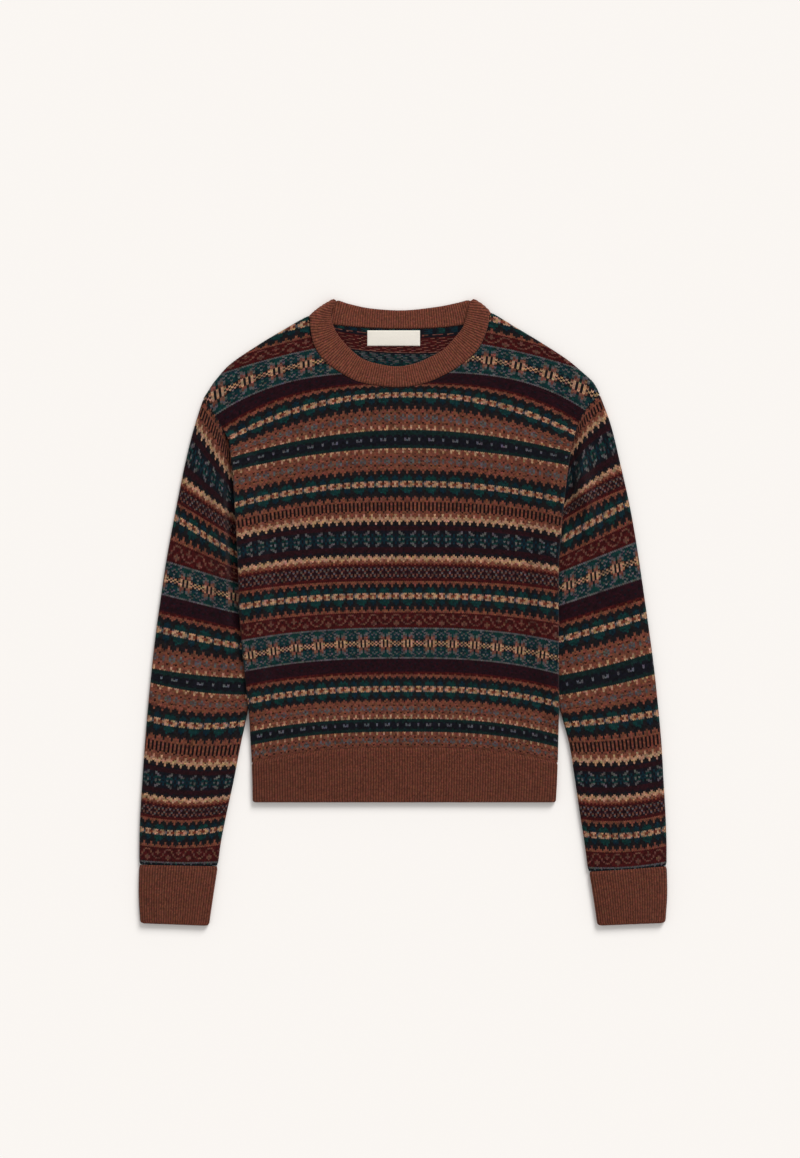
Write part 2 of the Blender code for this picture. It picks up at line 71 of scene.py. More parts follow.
KNIT_WALL = 0.0024
RIB_WALL = 0.0026
SEAM_GAP = 0.0003           # between neighbouring pieces
SLEEVE_SLIT = 0.0005        # empty slit inside a flattened sleeve
CUFF_SLIT = 0.0004
BODY_HEIGHT = 2 * KNIT_WALL + SEAM_GAP
SLEEVE_HEIGHT = 2 * KNIT_WALL + SLEEVE_SLIT
CUFF_HEIGHT = 2 * RIB_WALL + CUFF_SLIT
HEM_HEIGHT = 2 * RIB_WALL + SEAM_GAP

TUCK_LIFT = SLEEVE_HEIGHT + 1.5 * SEAM_GAP    # how far a tucked sleeve lifts the body's side
TUCK_MARGIN = 0.007         # full lift reaches this far past the sleeve's inner edge
TUCK_RAMP = 0.015           # and then eases to nothing over this width
TUCK_FADE_UP = 0.036        # above the underarm the lift fades out over this height
TUCK_FADE_DOWN = 0.009      # and below, as the sleeve draws clear by this much

# Where the body's side stands off the sleeve under it: its middle, half length and height.
SIDE_RISES = {"left": (0.076, 0.080, 0.0068), "right": (0.150, 0.054, 0.0050)}
RISE_REACH = 0.030          # it rises to the side over this width
SLEEVE_SINK = 0.0027        # and beside it the sleeve sinks by this much,
SINK_REACH = 0.0130         # out to this far either way,
SINK_RAMP = 0.0070          # easing back over this width

FRONT_SWELL = 0.0014        # how far the front stands off the back
SWELL_ACROSS = 0.10         # it grows over this share of the half width, in from the sides,
SWELL_ALONG = 0.050         # over this length up from the rib,
SWELL_TOP = 0.245           # and over as much down from here
SLEEVE_SWELL = 0.0012       # how far a sleeve's upper layer stands off the lower one
SLEEVE_RAMP = 0.014         # a sleeve swells over this width from its outer edge and from the body
SWELL_COURSES = 26.0        # a sleeve's swell grows over this many courses at either end

LEG_SLANT = 0.72            # how far a stitch's middle hangs below its sides, in courses
WALE_GROOVE = 0.00030       # depth of the groove between two wales
STITCH_GROOVE = 0.00012     # and down the middle of a wale

HEM_HANG = 0.0007           # how far the hem's stitches hang past its solid
HEM_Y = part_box("hem_rib_front")[0].y - HEM_HANG
RIB_SEAM_MIDDLE = -0.1485   # where the knit meets the rib, at the middle
RIB_SEAM_SIDE = -0.1653     # and at the sides, where the courses droop
RIB_SEAM_POWER = 2.6        # how late that droop sets in
DROOP_REACH = 0.176         # the droops below are measured this far from the middle

SIDES = table(
    "height left_x right_x",
    (-0.2082, -0.1658, 0.1686),
    (-0.1880, -0.1661, 0.1698),
    (-0.1623, -0.1669, 0.1707),
    (-0.1073, -0.1698, 0.1719),
    (-0.0402, -0.1771, 0.1714),
    (0.0017, -0.1804, 0.1714),
    (0.0578, -0.1815, 0.1715),
    (0.1139, -0.1848, 0.1764),
    (0.1524, -0.1870, 0.1808),
    (0.1880, -0.1913, 0.1867),
)
SHOULDERS = {
    "left": (
        (-0.2149, 0.2437), (-0.2057, 0.2569), (-0.1892, 0.2745),
        (-0.1584, 0.2954), (-0.1309, 0.3119), (-0.1052, 0.3262),
    ),
    "right": (
        (0.2107, 0.2521), (0.2010, 0.2618), (0.1799, 0.2793),
        (0.1500, 0.2987), (0.1238, 0.3144), (0.0984, 0.3296),
    ),
}
EDGE_COLUMNS = "outer_x outer_y inner_x inner_y"
SLEEVE_EDGES = {
    "left": table(
        EDGE_COLUMNS,
        (-0.2200, 0.2354, -0.1727, 0.1584),
        (-0.2299, 0.2041, -0.1712, 0.1210),
        (-0.2420, 0.1546, -0.1683, 0.0886),
        (-0.2508, 0.1106, -0.1639, 0.0578),
        (-0.2603, 0.0600, -0.1606, 0.0248),
        (-0.2673, 0.0138, -0.1600, -0.0105),
        (-0.2722, -0.0215, -0.1617, -0.0413),
        (-0.2772, -0.0655, -0.1661, -0.0853),
        (-0.2811, -0.1051, -0.1716, -0.1139),
        (-0.2844, -0.1457, -0.1782, -0.1447),
        (-0.2871, -0.1843, -0.1859, -0.1843),
        (-0.2895, -0.2228, -0.1942, -0.2228),
        (-0.2904, -0.2558, -0.2002, -0.2535),
        (-0.2904, -0.2767, -0.2035, -0.2783),
    ),
    "right": table(
        EDGE_COLUMNS,
        (0.2167, 0.2404, 0.1727, 0.1612),
        (0.2277, 0.2107, 0.1690, 0.1240),
        (0.2393, 0.1645, 0.1617, 0.0941),
        (0.2508, 0.1128, 0.1584, 0.0600),
        (0.2596, 0.0611, 0.1562, 0.0270),
        (0.2662, 0.0160, 0.1568, -0.0083),
        (0.2712, -0.0192, 0.1595, -0.0391),
        (0.2767, -0.0611, 0.1656, -0.0787),
        (0.2811, -0.1029, 0.1735, -0.1106),
        (0.2849, -0.1457, 0.1824, -0.1436),
        (0.2871, -0.1843, 0.1890, -0.1843),
        (0.2893, -0.2228, 0.1947, -0.2228),
        (0.2904, -0.2558, 0.1996, -0.2547),
        (0.2904, -0.2783, 0.2035, -0.2844),
    ),
}
CUFF_EDGES = {
    "left": table(
        EDGE_COLUMNS,
        (-0.2904, -0.2777, -0.2035, -0.2793),
        (-0.2909, -0.3108, -0.2085, -0.3119),
        (-0.2893, -0.3419, -0.2134, -0.3448),
    ),
    "right": table(
        EDGE_COLUMNS,
        (0.2904, -0.2793, 0.2046, -0.2854),
        (0.2909, -0.3108, 0.2093, -0.3140),
        (0.2889, -0.3416, 0.2138, -0.3446),
    ),
}
ARMHOLE_OPEN_SHARE = {"left": 0.607, "right": 0.681}     # how much of the armhole shows
ARMHOLE_BOW = {"left": 0.0020, "right": 0.0060}          # and how far that part bows

BAND_COLUMNS = "seam_x seam_y free_x free_y"
BAND_FRONT = table(
    BAND_COLUMNS,
    (-0.1024, 0.3228, -0.0728, 0.3428),
    (-0.1015, 0.3097, -0.0785, 0.3310),
    (-0.0971, 0.2926, -0.0770, 0.3168),
    (-0.0836, 0.2745, -0.0682, 0.3009),
    (-0.0550, 0.2563, -0.0473, 0.2810),
    (-0.0308, 0.2503, -0.0264, 0.2734),
    (-0.0044, 0.2477, -0.0044, 0.2708),
    (0.0187, 0.2510, 0.0154, 0.2748),
    (0.0363, 0.2569, 0.0297, 0.2811),
    (0.0589, 0.2690, 0.0451, 0.2899),
    (0.0781, 0.2844, 0.0583, 0.3042),
    (0.0869, 0.2969, 0.0660, 0.3144),
    (0.0930, 0.3130, 0.0704, 0.3284),
    (0.0952, 0.3266, 0.0741, 0.3430),
)
BAND_BACK = table(
    BAND_COLUMNS,
    (-0.1024, 0.3228, -0.0728, 0.3428),
    (-0.0895, 0.3195, -0.0702, 0.3434),
    (-0.0770, 0.3163, -0.0583, 0.3396),
    (-0.0407, 0.3130, -0.0341, 0.3347),
    (0.0011, 0.3119, 0.0011, 0.3328),
    (0.0407, 0.3130, 0.0374, 0.3366),
    (0.0737, 0.3174, 0.0605, 0.3412),
    (0.0850, 0.3220, 0.0700, 0.3437),
    (0.0952, 0.3266, 0.0741, 0.3430),
)
BAND_FOLD = 0.0026          # radius of the neckband where it folds over at the shoulder points
BAND_LOOSE = 0.0004         # how far the front half stands off the back
BAND_LOW = RIB_WALL / 2     # height of its middle surface in the back half
BAND_HIGH = KNIT_WALL + SEAM_GAP + BAND_LOOSE + RIB_WALL / 2      # and in the front half
BAND_RISE = 0.30            # the front half rises to its folds over this share of its length

# Soft folds: middle, direction, half length, half width, and height, below zero for a trough.
FOLD_COLUMNS = "x y degrees half_length half_width height"
FRONT_FOLDS = table(
    FOLD_COLUMNS,
    (-0.128, 0.172, -52.0, 0.060, 0.020, 0.0012),
    (-0.098, 0.118, -38.0, 0.055, 0.022, -0.0011),
    (0.132, 0.178, 50.0, 0.058, 0.021, 0.0011),
    (0.108, 0.112, 34.0, 0.050, 0.020, -0.0012),
    (-0.060, -0.085, 84.0, 0.060, 0.018, 0.0008),
    (0.072, -0.070, 97.0, 0.070, 0.020, 0.0009),
    (0.015, 0.030, 8.0, 0.090, 0.026, -0.0007),
    (-0.158, 0.055, 86.0, 0.085, 0.018, 0.0018),
    (0.152, 0.125, -82.0, 0.055, 0.018, 0.0016),
)
SLEEVE_FOLDS = {
    "left": table(
        FOLD_COLUMNS,
        (-0.214, 0.172, -30.0, 0.040, 0.011, -0.0010),
        (-0.226, 0.118, -68.0, 0.050, 0.012, 0.0008),
        (-0.212, 0.060, -24.0, 0.034, 0.010, -0.0010),
        (-0.232, -0.012, 18.0, 0.030, 0.011, -0.0009),
        (-0.226, -0.085, -78.0, 0.060, 0.012, 0.0007),
        (-0.240, -0.168, 12.0, 0.032, 0.010, -0.0008),
        (-0.252, -0.232, -82.0, 0.040, 0.010, 0.0006),
        (-0.197, 0.066, 88.0, 0.078, 0.0110, 0.0096),
    ),
    "right": table(
        FOLD_COLUMNS,
        (0.210, 0.180, 34.0, 0.042, 0.012, -0.0011),
        (0.226, 0.128, 72.0, 0.046, 0.012, 0.0008),
        (0.206, 0.072, 22.0, 0.036, 0.010, -0.0009),
        (0.230, 0.004, -20.0, 0.032, 0.011, -0.0010),
        (0.222, -0.070, 80.0, 0.056, 0.012, 0.0007),
        (0.238, -0.150, -14.0, 0.034, 0.010, -0.0009),
        (0.250, -0.222, 84.0, 0.044, 0.010, 0.0007),
        (0.198, 0.137, -80.0, 0.050, 0.0105, 0.0092),
    ),
}

# How the body hangs, for chosen courses counted from the chain band at the shoulder: where the
# course crosses the middle, how far it droops at DROOP_REACH, how late the droop sets in, where the
# middle wale stands, and the width of a stitch in the middle and out towards each side.
BODY_COLUMNS = "course height droop_left droop_right power middle pitch pitch_left pitch_right"
FRONT_COURSES = table(
    BODY_COLUMNS,
    (-8.0, 0.3504, 0.0348, 0.0404, 1.50, 0.0115, 0.00234, 0.00275, 0.00286),
    (-0.5, 0.3373, 0.0348, 0.0404, 1.50, 0.0115, 0.00234, 0.00275, 0.00286),
    (21.0, 0.3020, 0.0284, 0.0312, 1.80, 0.0103, 0.00233, 0.00275, 0.00286),
    (41.0, 0.2652, 0.0253, 0.0316, 3.10, 0.0083, 0.00228, 0.00264, 0.00272),
    (62.5, 0.2401, 0.0380, 0.0390, 2.20, 0.0050, 0.00218, 0.00244, 0.00246),
    (92.5, 0.1895, 0.0224, 0.0205, 1.95, 0.0046, 0.00220, 0.00226, 0.00226),
    (121.5, 0.1420, 0.0202, 0.0200, 2.30, 0.0046, 0.00220, 0.00220, 0.00220),
    (160.0, 0.0783, 0.0125, 0.0155, 3.20, 0.0048, 0.00213, 0.00214, 0.00214),
    (196.5, 0.0188, 0.0105, 0.0128, 2.6, 0.0050, 0.00211, 0.00211, 0.00211),
    (229.0, -0.0348, 0.0136, 0.0196, 2.6, 0.0053, 0.00204, 0.00206, 0.00206),
    (259.5, -0.0834, 0.0134, 0.0200, 2.6, 0.0055, 0.00197, 0.00198, 0.00198),
    (286.0, -0.1250, 0.0152, 0.0206, 2.6, 0.0055, 0.00189, 0.00198, 0.00198),
    (300.5, -0.1485, 0.0172, 0.0190, 2.6, 0.0055, 0.00189, 0.00198, 0.00198),
)
BACK_COURSES = table(
    BODY_COLUMNS,
    (-8.0, 0.3362, 0.0300, 0.0300, 3.0, 0.0115, 0.00231, 0.00255, 0.00260),
    (0.0, 0.3226, 0.0300, 0.0300, 3.0, 0.0115, 0.00231, 0.00255, 0.00260),
    (31.0, 0.2684, 0.0300, 0.0300, 3.0, 0.0099, 0.00229, 0.00255, 0.00260),
    (63.0, 0.2214, 0.0250, 0.0250, 2.8, 0.0050, 0.00220, 0.00240, 0.00240),
    (92.5, 0.1810, 0.0220, 0.0190, 2.6, 0.0046, 0.00220, 0.00226, 0.00226),
    (122.0, 0.1417, 0.0202, 0.0182, 2.6, 0.0046, 0.00220, 0.00220, 0.00220),
    (160.0, 0.0790, 0.0170, 0.0140, 2.6, 0.0048, 0.00213, 0.00214, 0.00214),
    (197.0, 0.0182, 0.0132, 0.0092, 2.6, 0.0050, 0.00211, 0.00211, 0.00211),
    (229.0, -0.0336, 0.0170, 0.0165, 2.6, 0.0053, 0.00204, 0.00206, 0.00206),
    (260.0, -0.0835, 0.0172, 0.0172, 2.6, 0.0055, 0.00197, 0.00198, 0.00198),
    (286.0, -0.1250, 0.0158, 0.0158, 2.6, 0.0055, 0.00189, 0.00198, 0.00198),
    (300.5, -0.1485, 0.0172, 0.0172, 2.6, 0.0055, 0.00189, 0.00198, 0.00198),
)
# Inside the neck the back's courses curve up to the sides instead.
INNER_COURSES = table(
    BODY_COLUMNS,
    (0.0, 0.3183, -0.0330, -0.0330, 2.0, 0.0105, 0.00231, 0.00231, 0.00231),
    (50.0, 0.2383, -0.0330, -0.0330, 2.0, 0.0105, 0.00231, 0.00231, 0.00231),
)
WALES_HALF = 93             # wales from the middle one to the panel's widest edge
BODY_WALES = 2 * WALES_HALF + 1
CHART_TOP = 6.5             # courses above the shoulder's chain band
WIDEN_START = 20.0          # stitches widen between these wales
WIDEN_END = 50.0

# How a sleeve lies: for chosen courses from the armhole, where they meet its outer and inner edges,
# and how far their middles hang below that.
SLEEVE_COLUMNS = "course outer_y inner_y sag"
SLEEVE_COURSES = {
    "left": table(
        SLEEVE_COLUMNS,
        (0.0, 0.2354, 0.1584, 0.0),
        (18.0, 0.2041, 0.1210, 0.0),
        (38.0, 0.1546, 0.0974, 0.0),
        (57.0, 0.1216, 0.0710, 0.0),
        (67.5, 0.1051, 0.0512, 0.0),
        (88.0, 0.0578, 0.0270, 0.0),
        (109.0, 0.0204, -0.0061, 0.0),
        (119.0, 0.0017, -0.0226, 0.0),
        (130.5, -0.0182, -0.0402, 0.0010),
        (154.0, -0.0622, -0.0733, 0.0025),
        (165.0, -0.0765, -0.0897, 0.0040),
        (189.5, -0.1161, -0.1216, 0.0060),
        (212.0, -0.1568, -0.1645, 0.0045),
        (238.5, -0.1997, -0.2019, 0.0055),
        (264.5, -0.2382, -0.2371, 0.0050),
        (288.0, -0.2767, -0.2783, 0.0012),
    ),
    "right": table(
        SLEEVE_COLUMNS,
        (0.0, 0.2404, 0.1612, 0.0),
        (18.0, 0.2134, 0.1380, -0.0095),
        (38.0, 0.1678, 0.1072, -0.0060),
        (57.0, 0.1375, 0.0919, -0.0035),
        (67.5, 0.1205, 0.0699, -0.0012),
        (88.0, 0.0787, 0.0391, 0.0),
        (109.0, 0.0380, 0.0028, 0.0),
        (119.0, 0.0171, -0.0149, 0.0),
        (130.5, -0.0028, -0.0330, 0.0010),
        (154.0, -0.0452, -0.0717, 0.0020),
        (165.0, -0.0671, -0.0908, 0.0020),
        (189.5, -0.1106, -0.1238, 0.0010),
        (212.0, -0.1524, -0.1601, 0.0045),
        (238.5, -0.1953, -0.2019, 0.0045),
        (264.5, -0.2382, -0.2437, 0.0048),
        (288.0, -0.2783, -0.2844, 0.0025),
    ),
}
SLEEVE_WALES = 96           # all round, with the seam at the inner edge
ARMHOLE_EASE = 18.0         # the armhole's bow fades from the sleeve over these courses

SEAM_DIP = 0.0009           # panels sink to a linked seam by this much
SEAM_REACH = 0.0030         # over this width,
SEAM_COURSES = 2.0          # or over this many courses at a sleeve's ends
NECK_DIP = 0.0017           # and under the neckband's edge by this much
NECK_TUCK = 0.0012          # a panel reaches this far under the neckband

RIB_GROOVE = 0.00062        # depth of the grooves of the rib
RIB_PITCH = 0.00283         # one rib and its groove
RIB_ROW = 0.0016            # one course of the rib
RIB_HANG = 0.0005           # how far the raised stitches hang below the sunken ones
EDGE_ROUND = (RIB_WALL - RIB_GROOVE) / 2      # radius of a rib's free edge
EDGE_TURN = 0.0120          # how much of a rib's inner face is made, in from its free edge
HEM_CORNER = 0.0032         # radius of the hem's corners at its free edge,
CUFF_CORNER = 0.0034        # and of a cuff's
BAND_PITCH = 0.00262        # one rib and its groove round the neckband
BAND_EDGE_THIN = 0.0008     # each face of the neckband sinks this much to its seam
BAND_TURN_COURSES = 0.4     # courses to each radian round its free edge
BEND_ROUND = 0.0015         # the neckband's free edge draws back this much at its folds,
ROUND_REACH = 0.0065        # over this far either way
BEND_BOW = 0.0014           # its folds bow out by this much in the middle
BEND_OUT = 0.0006           # and stand out by this much at the free edge,
BEND_REACH = 0.0110         # over this far either way
LEAD_STEPS = 400            # places round the neckband at which its slant is evened out,
LEAD_REACH = 8              # over this many places either way

LABEL_CENTRE = (-0.0103, 0.3020)
LABEL_SIZE = (0.0580, 0.0170)
LABEL_WALL = 0.0006
LABEL_ROUND = 0.0006        # its edges turn down over this width
LABEL_LIFT = 0.0004         # and its middle stands off the knit by this much
LABEL_THREAD = 0.00045      # one thread of its weave
LABEL_ROWS, LABEL_COLUMNS = 28, 84
OUTSIDE_SHARE = 0.79        # the back's outer face fills its baked picture up to here,
PATCH_SHARE = 0.80          # and its inner face at the neck fills it from here

FLOOR_GAP = 0.0004          # the floor lies this much under the cloth
FLOOR_ROUGHNESS = 0.9
SUN_FROM = (0.36, 0.80, 0.54)
VIEW_CENTRE = (-0.0033, 0.03685)
LENS = 85.0                 # focal length and sensor width in millimetres
SENSOR = 36.0

UNEVEN_LIMITS = (0.4, 1.8)  # how dark and how light a single stitch may get
RIM_WIDTH = 5               # a panel's edge is shaped over this many quads
TUCK_STEPS = 6              # points read along an armhole's upper half,
SEAM_STEPS = 80             # along the neck's and the rib's seam,
CURVE_STEPS = 60            # along the sides and shoulders,
HOLE_STEPS = 40             # and along an armhole
OUTLINE_STEP = 0.002        # distance between the points of a finished outline
BAND_STEPS = 120            # places read along each half of the neckband
BAND_ROWS = 14              # rows of quads on each face of the neckband
TURN_STEPS = 6              # steps of a rib's rounded edge
FOLD_TURNS = np.arange(15.0, 180.0, 15.0)     # degrees at which the neckband's folds are read
SEEDS = {
    "front": 11, "back": 12, "neck": 13, "sleeve_left": 21, "sleeve_right": 22,
    "hem_rib_front": 31, "hem_rib_back": 32, "cuff_left": 33, "cuff_right": 34, "neckband": 41,
}


# ---------------------------------------------------------------- charts of the pattern

# Rows of stitches from the neck down. One letter is one stitch; a row of four is knitted three
# times in the twelve stitches of the repeat. Its first stitch lies on the middle wale.
REPEAT = 12
YARN_NAMES = {
    "S": "sand", "B": "brown", "R": "rust", "K": "black", "N": "navy", "P": "plum",
    "M": "maroon", "W": "wine", "G": "grey", "A": "mauve", "T": "teal", "C": "blue",
    "F": "forest", "V": "raven", "H": "rose", "L": "pearl",
}
CHAIN = (
    "VSSGVSSSVGSS",
    "RRSSRRSRGSSR",
    "RSSSRRSRGSSR",
    "GSSGVSSSVGSS",
)
GAP_ABOVE = ("NTVVVNCNVVVT", "TTTVVCCCVVTT", "TTTVFCCCVFTT", "TTTFVCCCFVTT")
GAP_BELOW = GAP_ABOVE[:0:-1] + ("TTNVVNCNVVNT", "NTVVVVNVVVVN")
LINKS = GAP_ABOVE + CHAIN + GAP_BELOW
LONG_LINKS = LINKS + ("VVVV",)
DIAMONDS = (
    "KBBB",
    "BBGBBBABBBGB",
    "BGAGBAGABAGA",
    "AGGGAAGAAGAG",
    "BGAGBAGABAGA",
    "BBGBBBABBBAB",
    "KBBB",
)
CROWNS = ("BBSB", "BBSB", "BSSBBSBSBBSS")
DIAMONDS_DOWN = ("BVVV", "BVVV", "BBVB", "BBBB") + DIAMONDS + ("BBBB",) + CROWNS + ("FFFF",)
DASHES = (
    "FFFF", "FFFF", "NFNN", "NNNN",
    "NLNNNNLNNNNL", "LLNNNNLNNNNL", "NNNN",
    "NNNN", "NNFN", "FFFF", "FFFF",
)
DIAMONDS_UP = (
    CROWNS[::-1] + ("BBBB", "BBBB") + DIAMONDS
    + ("BBBB", "BBBB", "BBVB", "BVVV", "BVVV", "VVVV")
)
BARS = (
    "BVVV", "BBVB", "BBVB", "BBBB",
    "BKBK", "BKBK", "BKBK", "BKBK", "BKBK", "BKBK",
    "KBBB", "BBBB",
    "BBSB", "BBSB", "BSSS", "SSSS", "SSVS", "SVVV",
)
HALF_SNOW = (
    "NNNNGNNNGNNN",
    "NNNGGNNNGGNN",
    "CNGGNNCNNGGN",
    "CNTTTNCNTTTN",
)
SNOW = (
    ("SVVV", "WNNN", "WWWW", "WWWW", "WWWW") + HALF_SNOW
    + ("CCTNTCNCTNTC", "NCGFGCNCGFGC", "CCTNGCNCGNTC") + HALF_SNOW[::-1]
    + ("WWWW", "WWWW", "WWWW", "WWNW")
)
PEAKS = ("NNVN", "SVVV", "SSVS", "SSSS", "BSSS", "BBSB", "BBBB", "RMRM", "MMMM")
LATTICE = (
    "AWWW", "WAWG", "WGWA", "WWAW", "WWGW", "WAWA", "WAWG", "AWWW",
    "MMMM", "MMMM",
)
TEETH_DOWN = ("BBBB", "BBVB", "BVVV", "BVVV")
TEETH_UP = TEETH_DOWN[::-1]
FLOWERS = (
    "MMMMMMMMMMMM",
    "AMMMMAAAMMMM",
    "AMMMAMMMAMMM",
    "AAMMAMMMAMMA",
    "AMMAMMMMMAMM",
    "MMMAMMAMMAMM",
    "MMAMMAAAMMAM",
    "AAMMMAAAMMMA",
    "MMMMMMAMMMMM",
    "MMMMMMMMMMMM",
)
GREY_LINE = ("GGGG",)
HALF_ROSETTES = (
    "TTTGTCTCTGTT",
    "TTTCGTCTGCTT",
    "TTGGCTGTCGGT",
    "TGGCTGCGTCGG",
    "TGAGTCTCTGAG",
    "VHHGCTGTCGHH",
    "FHHFTCTCTFHH",
    "SVSBVNGNVBSV",
    "SVSSVSVSVSSV",
    "SVSVSVSVSVSV",
)
ROSETTES = HALF_ROSETTES + HALF_ROSETTES[-2::-1]
PLUM_BAND = (
    "PPPP", "PPPPPPNPPPPP", "PNPPPPPPPPPP", "PPPPNPPPPPPP", "PPPPPPPPPNPP",
    "PPNPPPPPPPPP", "PPPPPPPNPPPP", "PPPP", "PPPP", "MMMM",
)
TEETH_LONG = ("MMRM", "BBBB", "BBVB", "BVVV", "VVVV")
CUFF_LINE = ("GGGG", "NTNNGNTNGNNN", "NNNNTNNNNNTN")

# The back's inner side, with two lines a course: its stitches, and the floats of the other yarn.
INNER_GAP = ("NTTTNNNCCCNN", "NNTTNNNNCCNN", "TTTTNNCCCCNN")
INNER_TEETH = ("NNNNNNNNNNNN", "HHHNNHHHNNHH", "NWNNNHNWNNNN", "WWNNWWWNNNWW", "WNNWNWNNWNNN")
INNER_FLOWERS = (
    "MMMMMMMMMMMM", "MHHHMMMMMHHM", "WMMMMWMMMMMW", "HMMMMHHHMMMM",
    "MMMMMMMMMMMM", "MMHHHMMMMMHH", "MWMMMMMWMMMM", "HHMMMMHHHMMM",
    "MMMMMMMMMMMM", "MMMMHHHMMMMH",
)
INNER_LINE = ("HAHHAHHAHHAH", "NNNNNNNNNNNN", "NNNNNNNNNNNN")
INNER_ROSETTES = (
    "GGTNGGGTNGGT", "NTTNNTTNNTTN", "TGGGTNTGGGTN", "TNTTTNCTTTNC",
    "TTTGTTTCTTTG", "TCNTTTCNTTTC", "CTTTGTCCTTTG", "TTNTTCTTNTTC",
)

# The bands between two rows of chain links, and the whole charts.
UPPER_BODY = TEETH_UP + FLOWERS + GREY_LINE + ROSETTES + GREY_LINE + PLUM_BAND + TEETH_LONG
LONG_REPEAT = BARS + SNOW + PEAKS + LATTICE + TEETH_DOWN
SHORT_REPEAT = DIAMONDS_DOWN + DASHES + DIAMONDS_UP
HEM_REPEAT = (
    DIAMONDS_DOWN[1:4] + DIAMONDS_DOWN[3:8] + DIAMONDS_DOWN[9:15]
    + DASHES[:3] + DASHES[4:7] + DASHES[8:]
    + DIAMONDS_UP[1:4] + DIAMONDS_UP[5:9] + DIAMONDS_UP[10:14]
)
BODY_CHART = (
    LINKS + UPPER_BODY + LONG_LINKS + SHORT_REPEAT + LONG_LINKS + LONG_REPEAT
    + LINKS + UPPER_BODY + LINKS + HEM_REPEAT
)
SLEEVE_CHART = (
    LONG_REPEAT + LINKS + UPPER_BODY + LONG_LINKS + SHORT_REPEAT + LONG_LINKS + LONG_REPEAT
    + LINKS + TEETH_UP + FLOWERS + CUFF_LINE
)


def stepped(rows):
    """Rows that each start one stitch further on than the last."""
    return tuple(row[shift:] + row[:shift] for shift, row in enumerate(rows))


INNER_CHART = (
    INNER_GAP * 5 + INNER_TEETH + INNER_FLOWERS * 2 + INNER_LINE
    + stepped(INNER_ROSETTES[:4] * 3) + stepped(INNER_ROSETTES[4:] * 3) * 4
)


# ---------------------------------------------------------------- reading the tables

def ease(share):
    """Smooth step from 0 to 1."""
    share = np.clip(share, 0.0, 1.0)
    return share * share * (3.0 - 2.0 * share)


def smooth_curve(places, values, at):
    """Values read off the smooth curve through a table's column, at places along it."""
    slopes = np.gradient(values, places)
    index = np.clip(np.searchsorted(places, at, side="right") - 1, 0, len(places) - 2)
    width = places[index + 1] - places[index]
    t = np.clip((at - places[index]) / width, 0.0, 1.0)
    start = values[index] * (2 * t**3 - 3 * t**2 + 1)
    start = start + slopes[index] * width * (t**3 - 2 * t**2 + t)
    end = values[index + 1] * (3 * t**2 - 2 * t**3)
    end = end + slopes[index + 1] * width * (t**3 - t**2)
    return start + end


def smooth_points(columns, share):
    """Points of the smooth curve through rows of coordinates, at shares of the way along it."""
    places = np.arange(len(columns[0]), dtype=float)
    return np.stack([smooth_curve(places, column, share * places[-1]) for column in columns], -1)


def raised(plan, height):
    """Points in space from their plan and their heights."""
    return np.concatenate((plan, height[..., None]), -1)


def side_x(side, height):
    """Where the body's side edge stands at a height."""
    return np.interp(height, SIDES.height, getattr(SIDES, side + "_x"))


def course_line(outer, inner, side, share):
    """Points between a tube's outer and inner edges, and the unit normal towards the neck."""
    along = inner - outer
    turn = 1.0 if side == "left" else -1.0
    normal = turn * np.stack((-along[..., 1], along[..., 0]), -1)
    normal = normal / np.hypot(along[..., 0], along[..., 1])[..., None]
    return outer + along * share[..., None], normal


def armhole_bow(side, share):
    """How far the armhole bows towards the neck, at shares of the way along it."""
    return ARMHOLE_BOW[side] * np.sin(math.pi * np.clip(share / ARMHOLE_OPEN_SHARE[side], 0.0, 1.0))


def armhole_point(side, share):
    """Points of the armhole seam, from its top at share 0 past the underarm to share 1."""
    ends = np.array([column[0] for column in SLEEVE_EDGES[side]])
    share = np.asarray(share, float)
    point, normal = course_line(ends[:2], ends[2:], side, share)
    return point + normal * armhole_bow(side, share)[..., None]


def tuck_edge(side, height):
    """Where the sleeve's inner edge runs under the body at a height."""
    edges = SLEEVE_EDGES[side]
    hole = armhole_point(side, np.linspace(0.0, 0.5, TUCK_STEPS))
    x = np.concatenate((edges.inner_x, hole[:, 0]))
    y = np.concatenate((edges.inner_y, hole[:, 1]))
    order = np.argsort(y)
    return np.interp(height, y[order], x[order])


def beside_rise(side, y):
    """How fully the rise of the body's side stands at a height, from 0 to 1."""
    middle, half_length, _ = SIDE_RISES[side]
    return np.exp(-((y - middle) / half_length) ** 2)


def lift(x, y):
    """How far a tucked sleeve lifts the body, and its soft side stands off the sleeve."""
    height = np.zeros_like(x)
    for side, out in (("left", -1.0), ("right", 1.0)):
        edge = tuck_edge(side, y)
        past = out * (x - edge) + TUCK_MARGIN + TUCK_RAMP
        tuck = out * (side_x(side, y) - edge)
        above = y - SIDES.height[-1] - TUCK_MARGIN
        fade = ease(1.0 - above / TUCK_FADE_UP) * ease(1.0 + tuck / TUCK_FADE_DOWN)
        height += TUCK_LIFT * ease(past / TUCK_RAMP) * fade
        inward = out * (side_x(side, y) - x) / RISE_REACH
        height += SIDE_RISES[side][2] * ease(1.0 - inward) * beside_rise(side, y) * fade
    return height


def folds(rows, x, y):
    """Height of the soft folds of a table."""
    height = np.zeros_like(x)
    for fold in zip(*rows):
        middle_x, middle_y, degrees, half_length, half_width, rise = fold
        cos = math.cos(math.radians(degrees))
        sin = math.sin(math.radians(degrees))
        dx = x - middle_x
        dy = y - middle_y
        ahead = (dx * cos + dy * sin) / half_length
        aside = (dy * cos - dx * sin) / half_width
        height += rise * np.exp(-ahead**2 - aside**2)
    return height


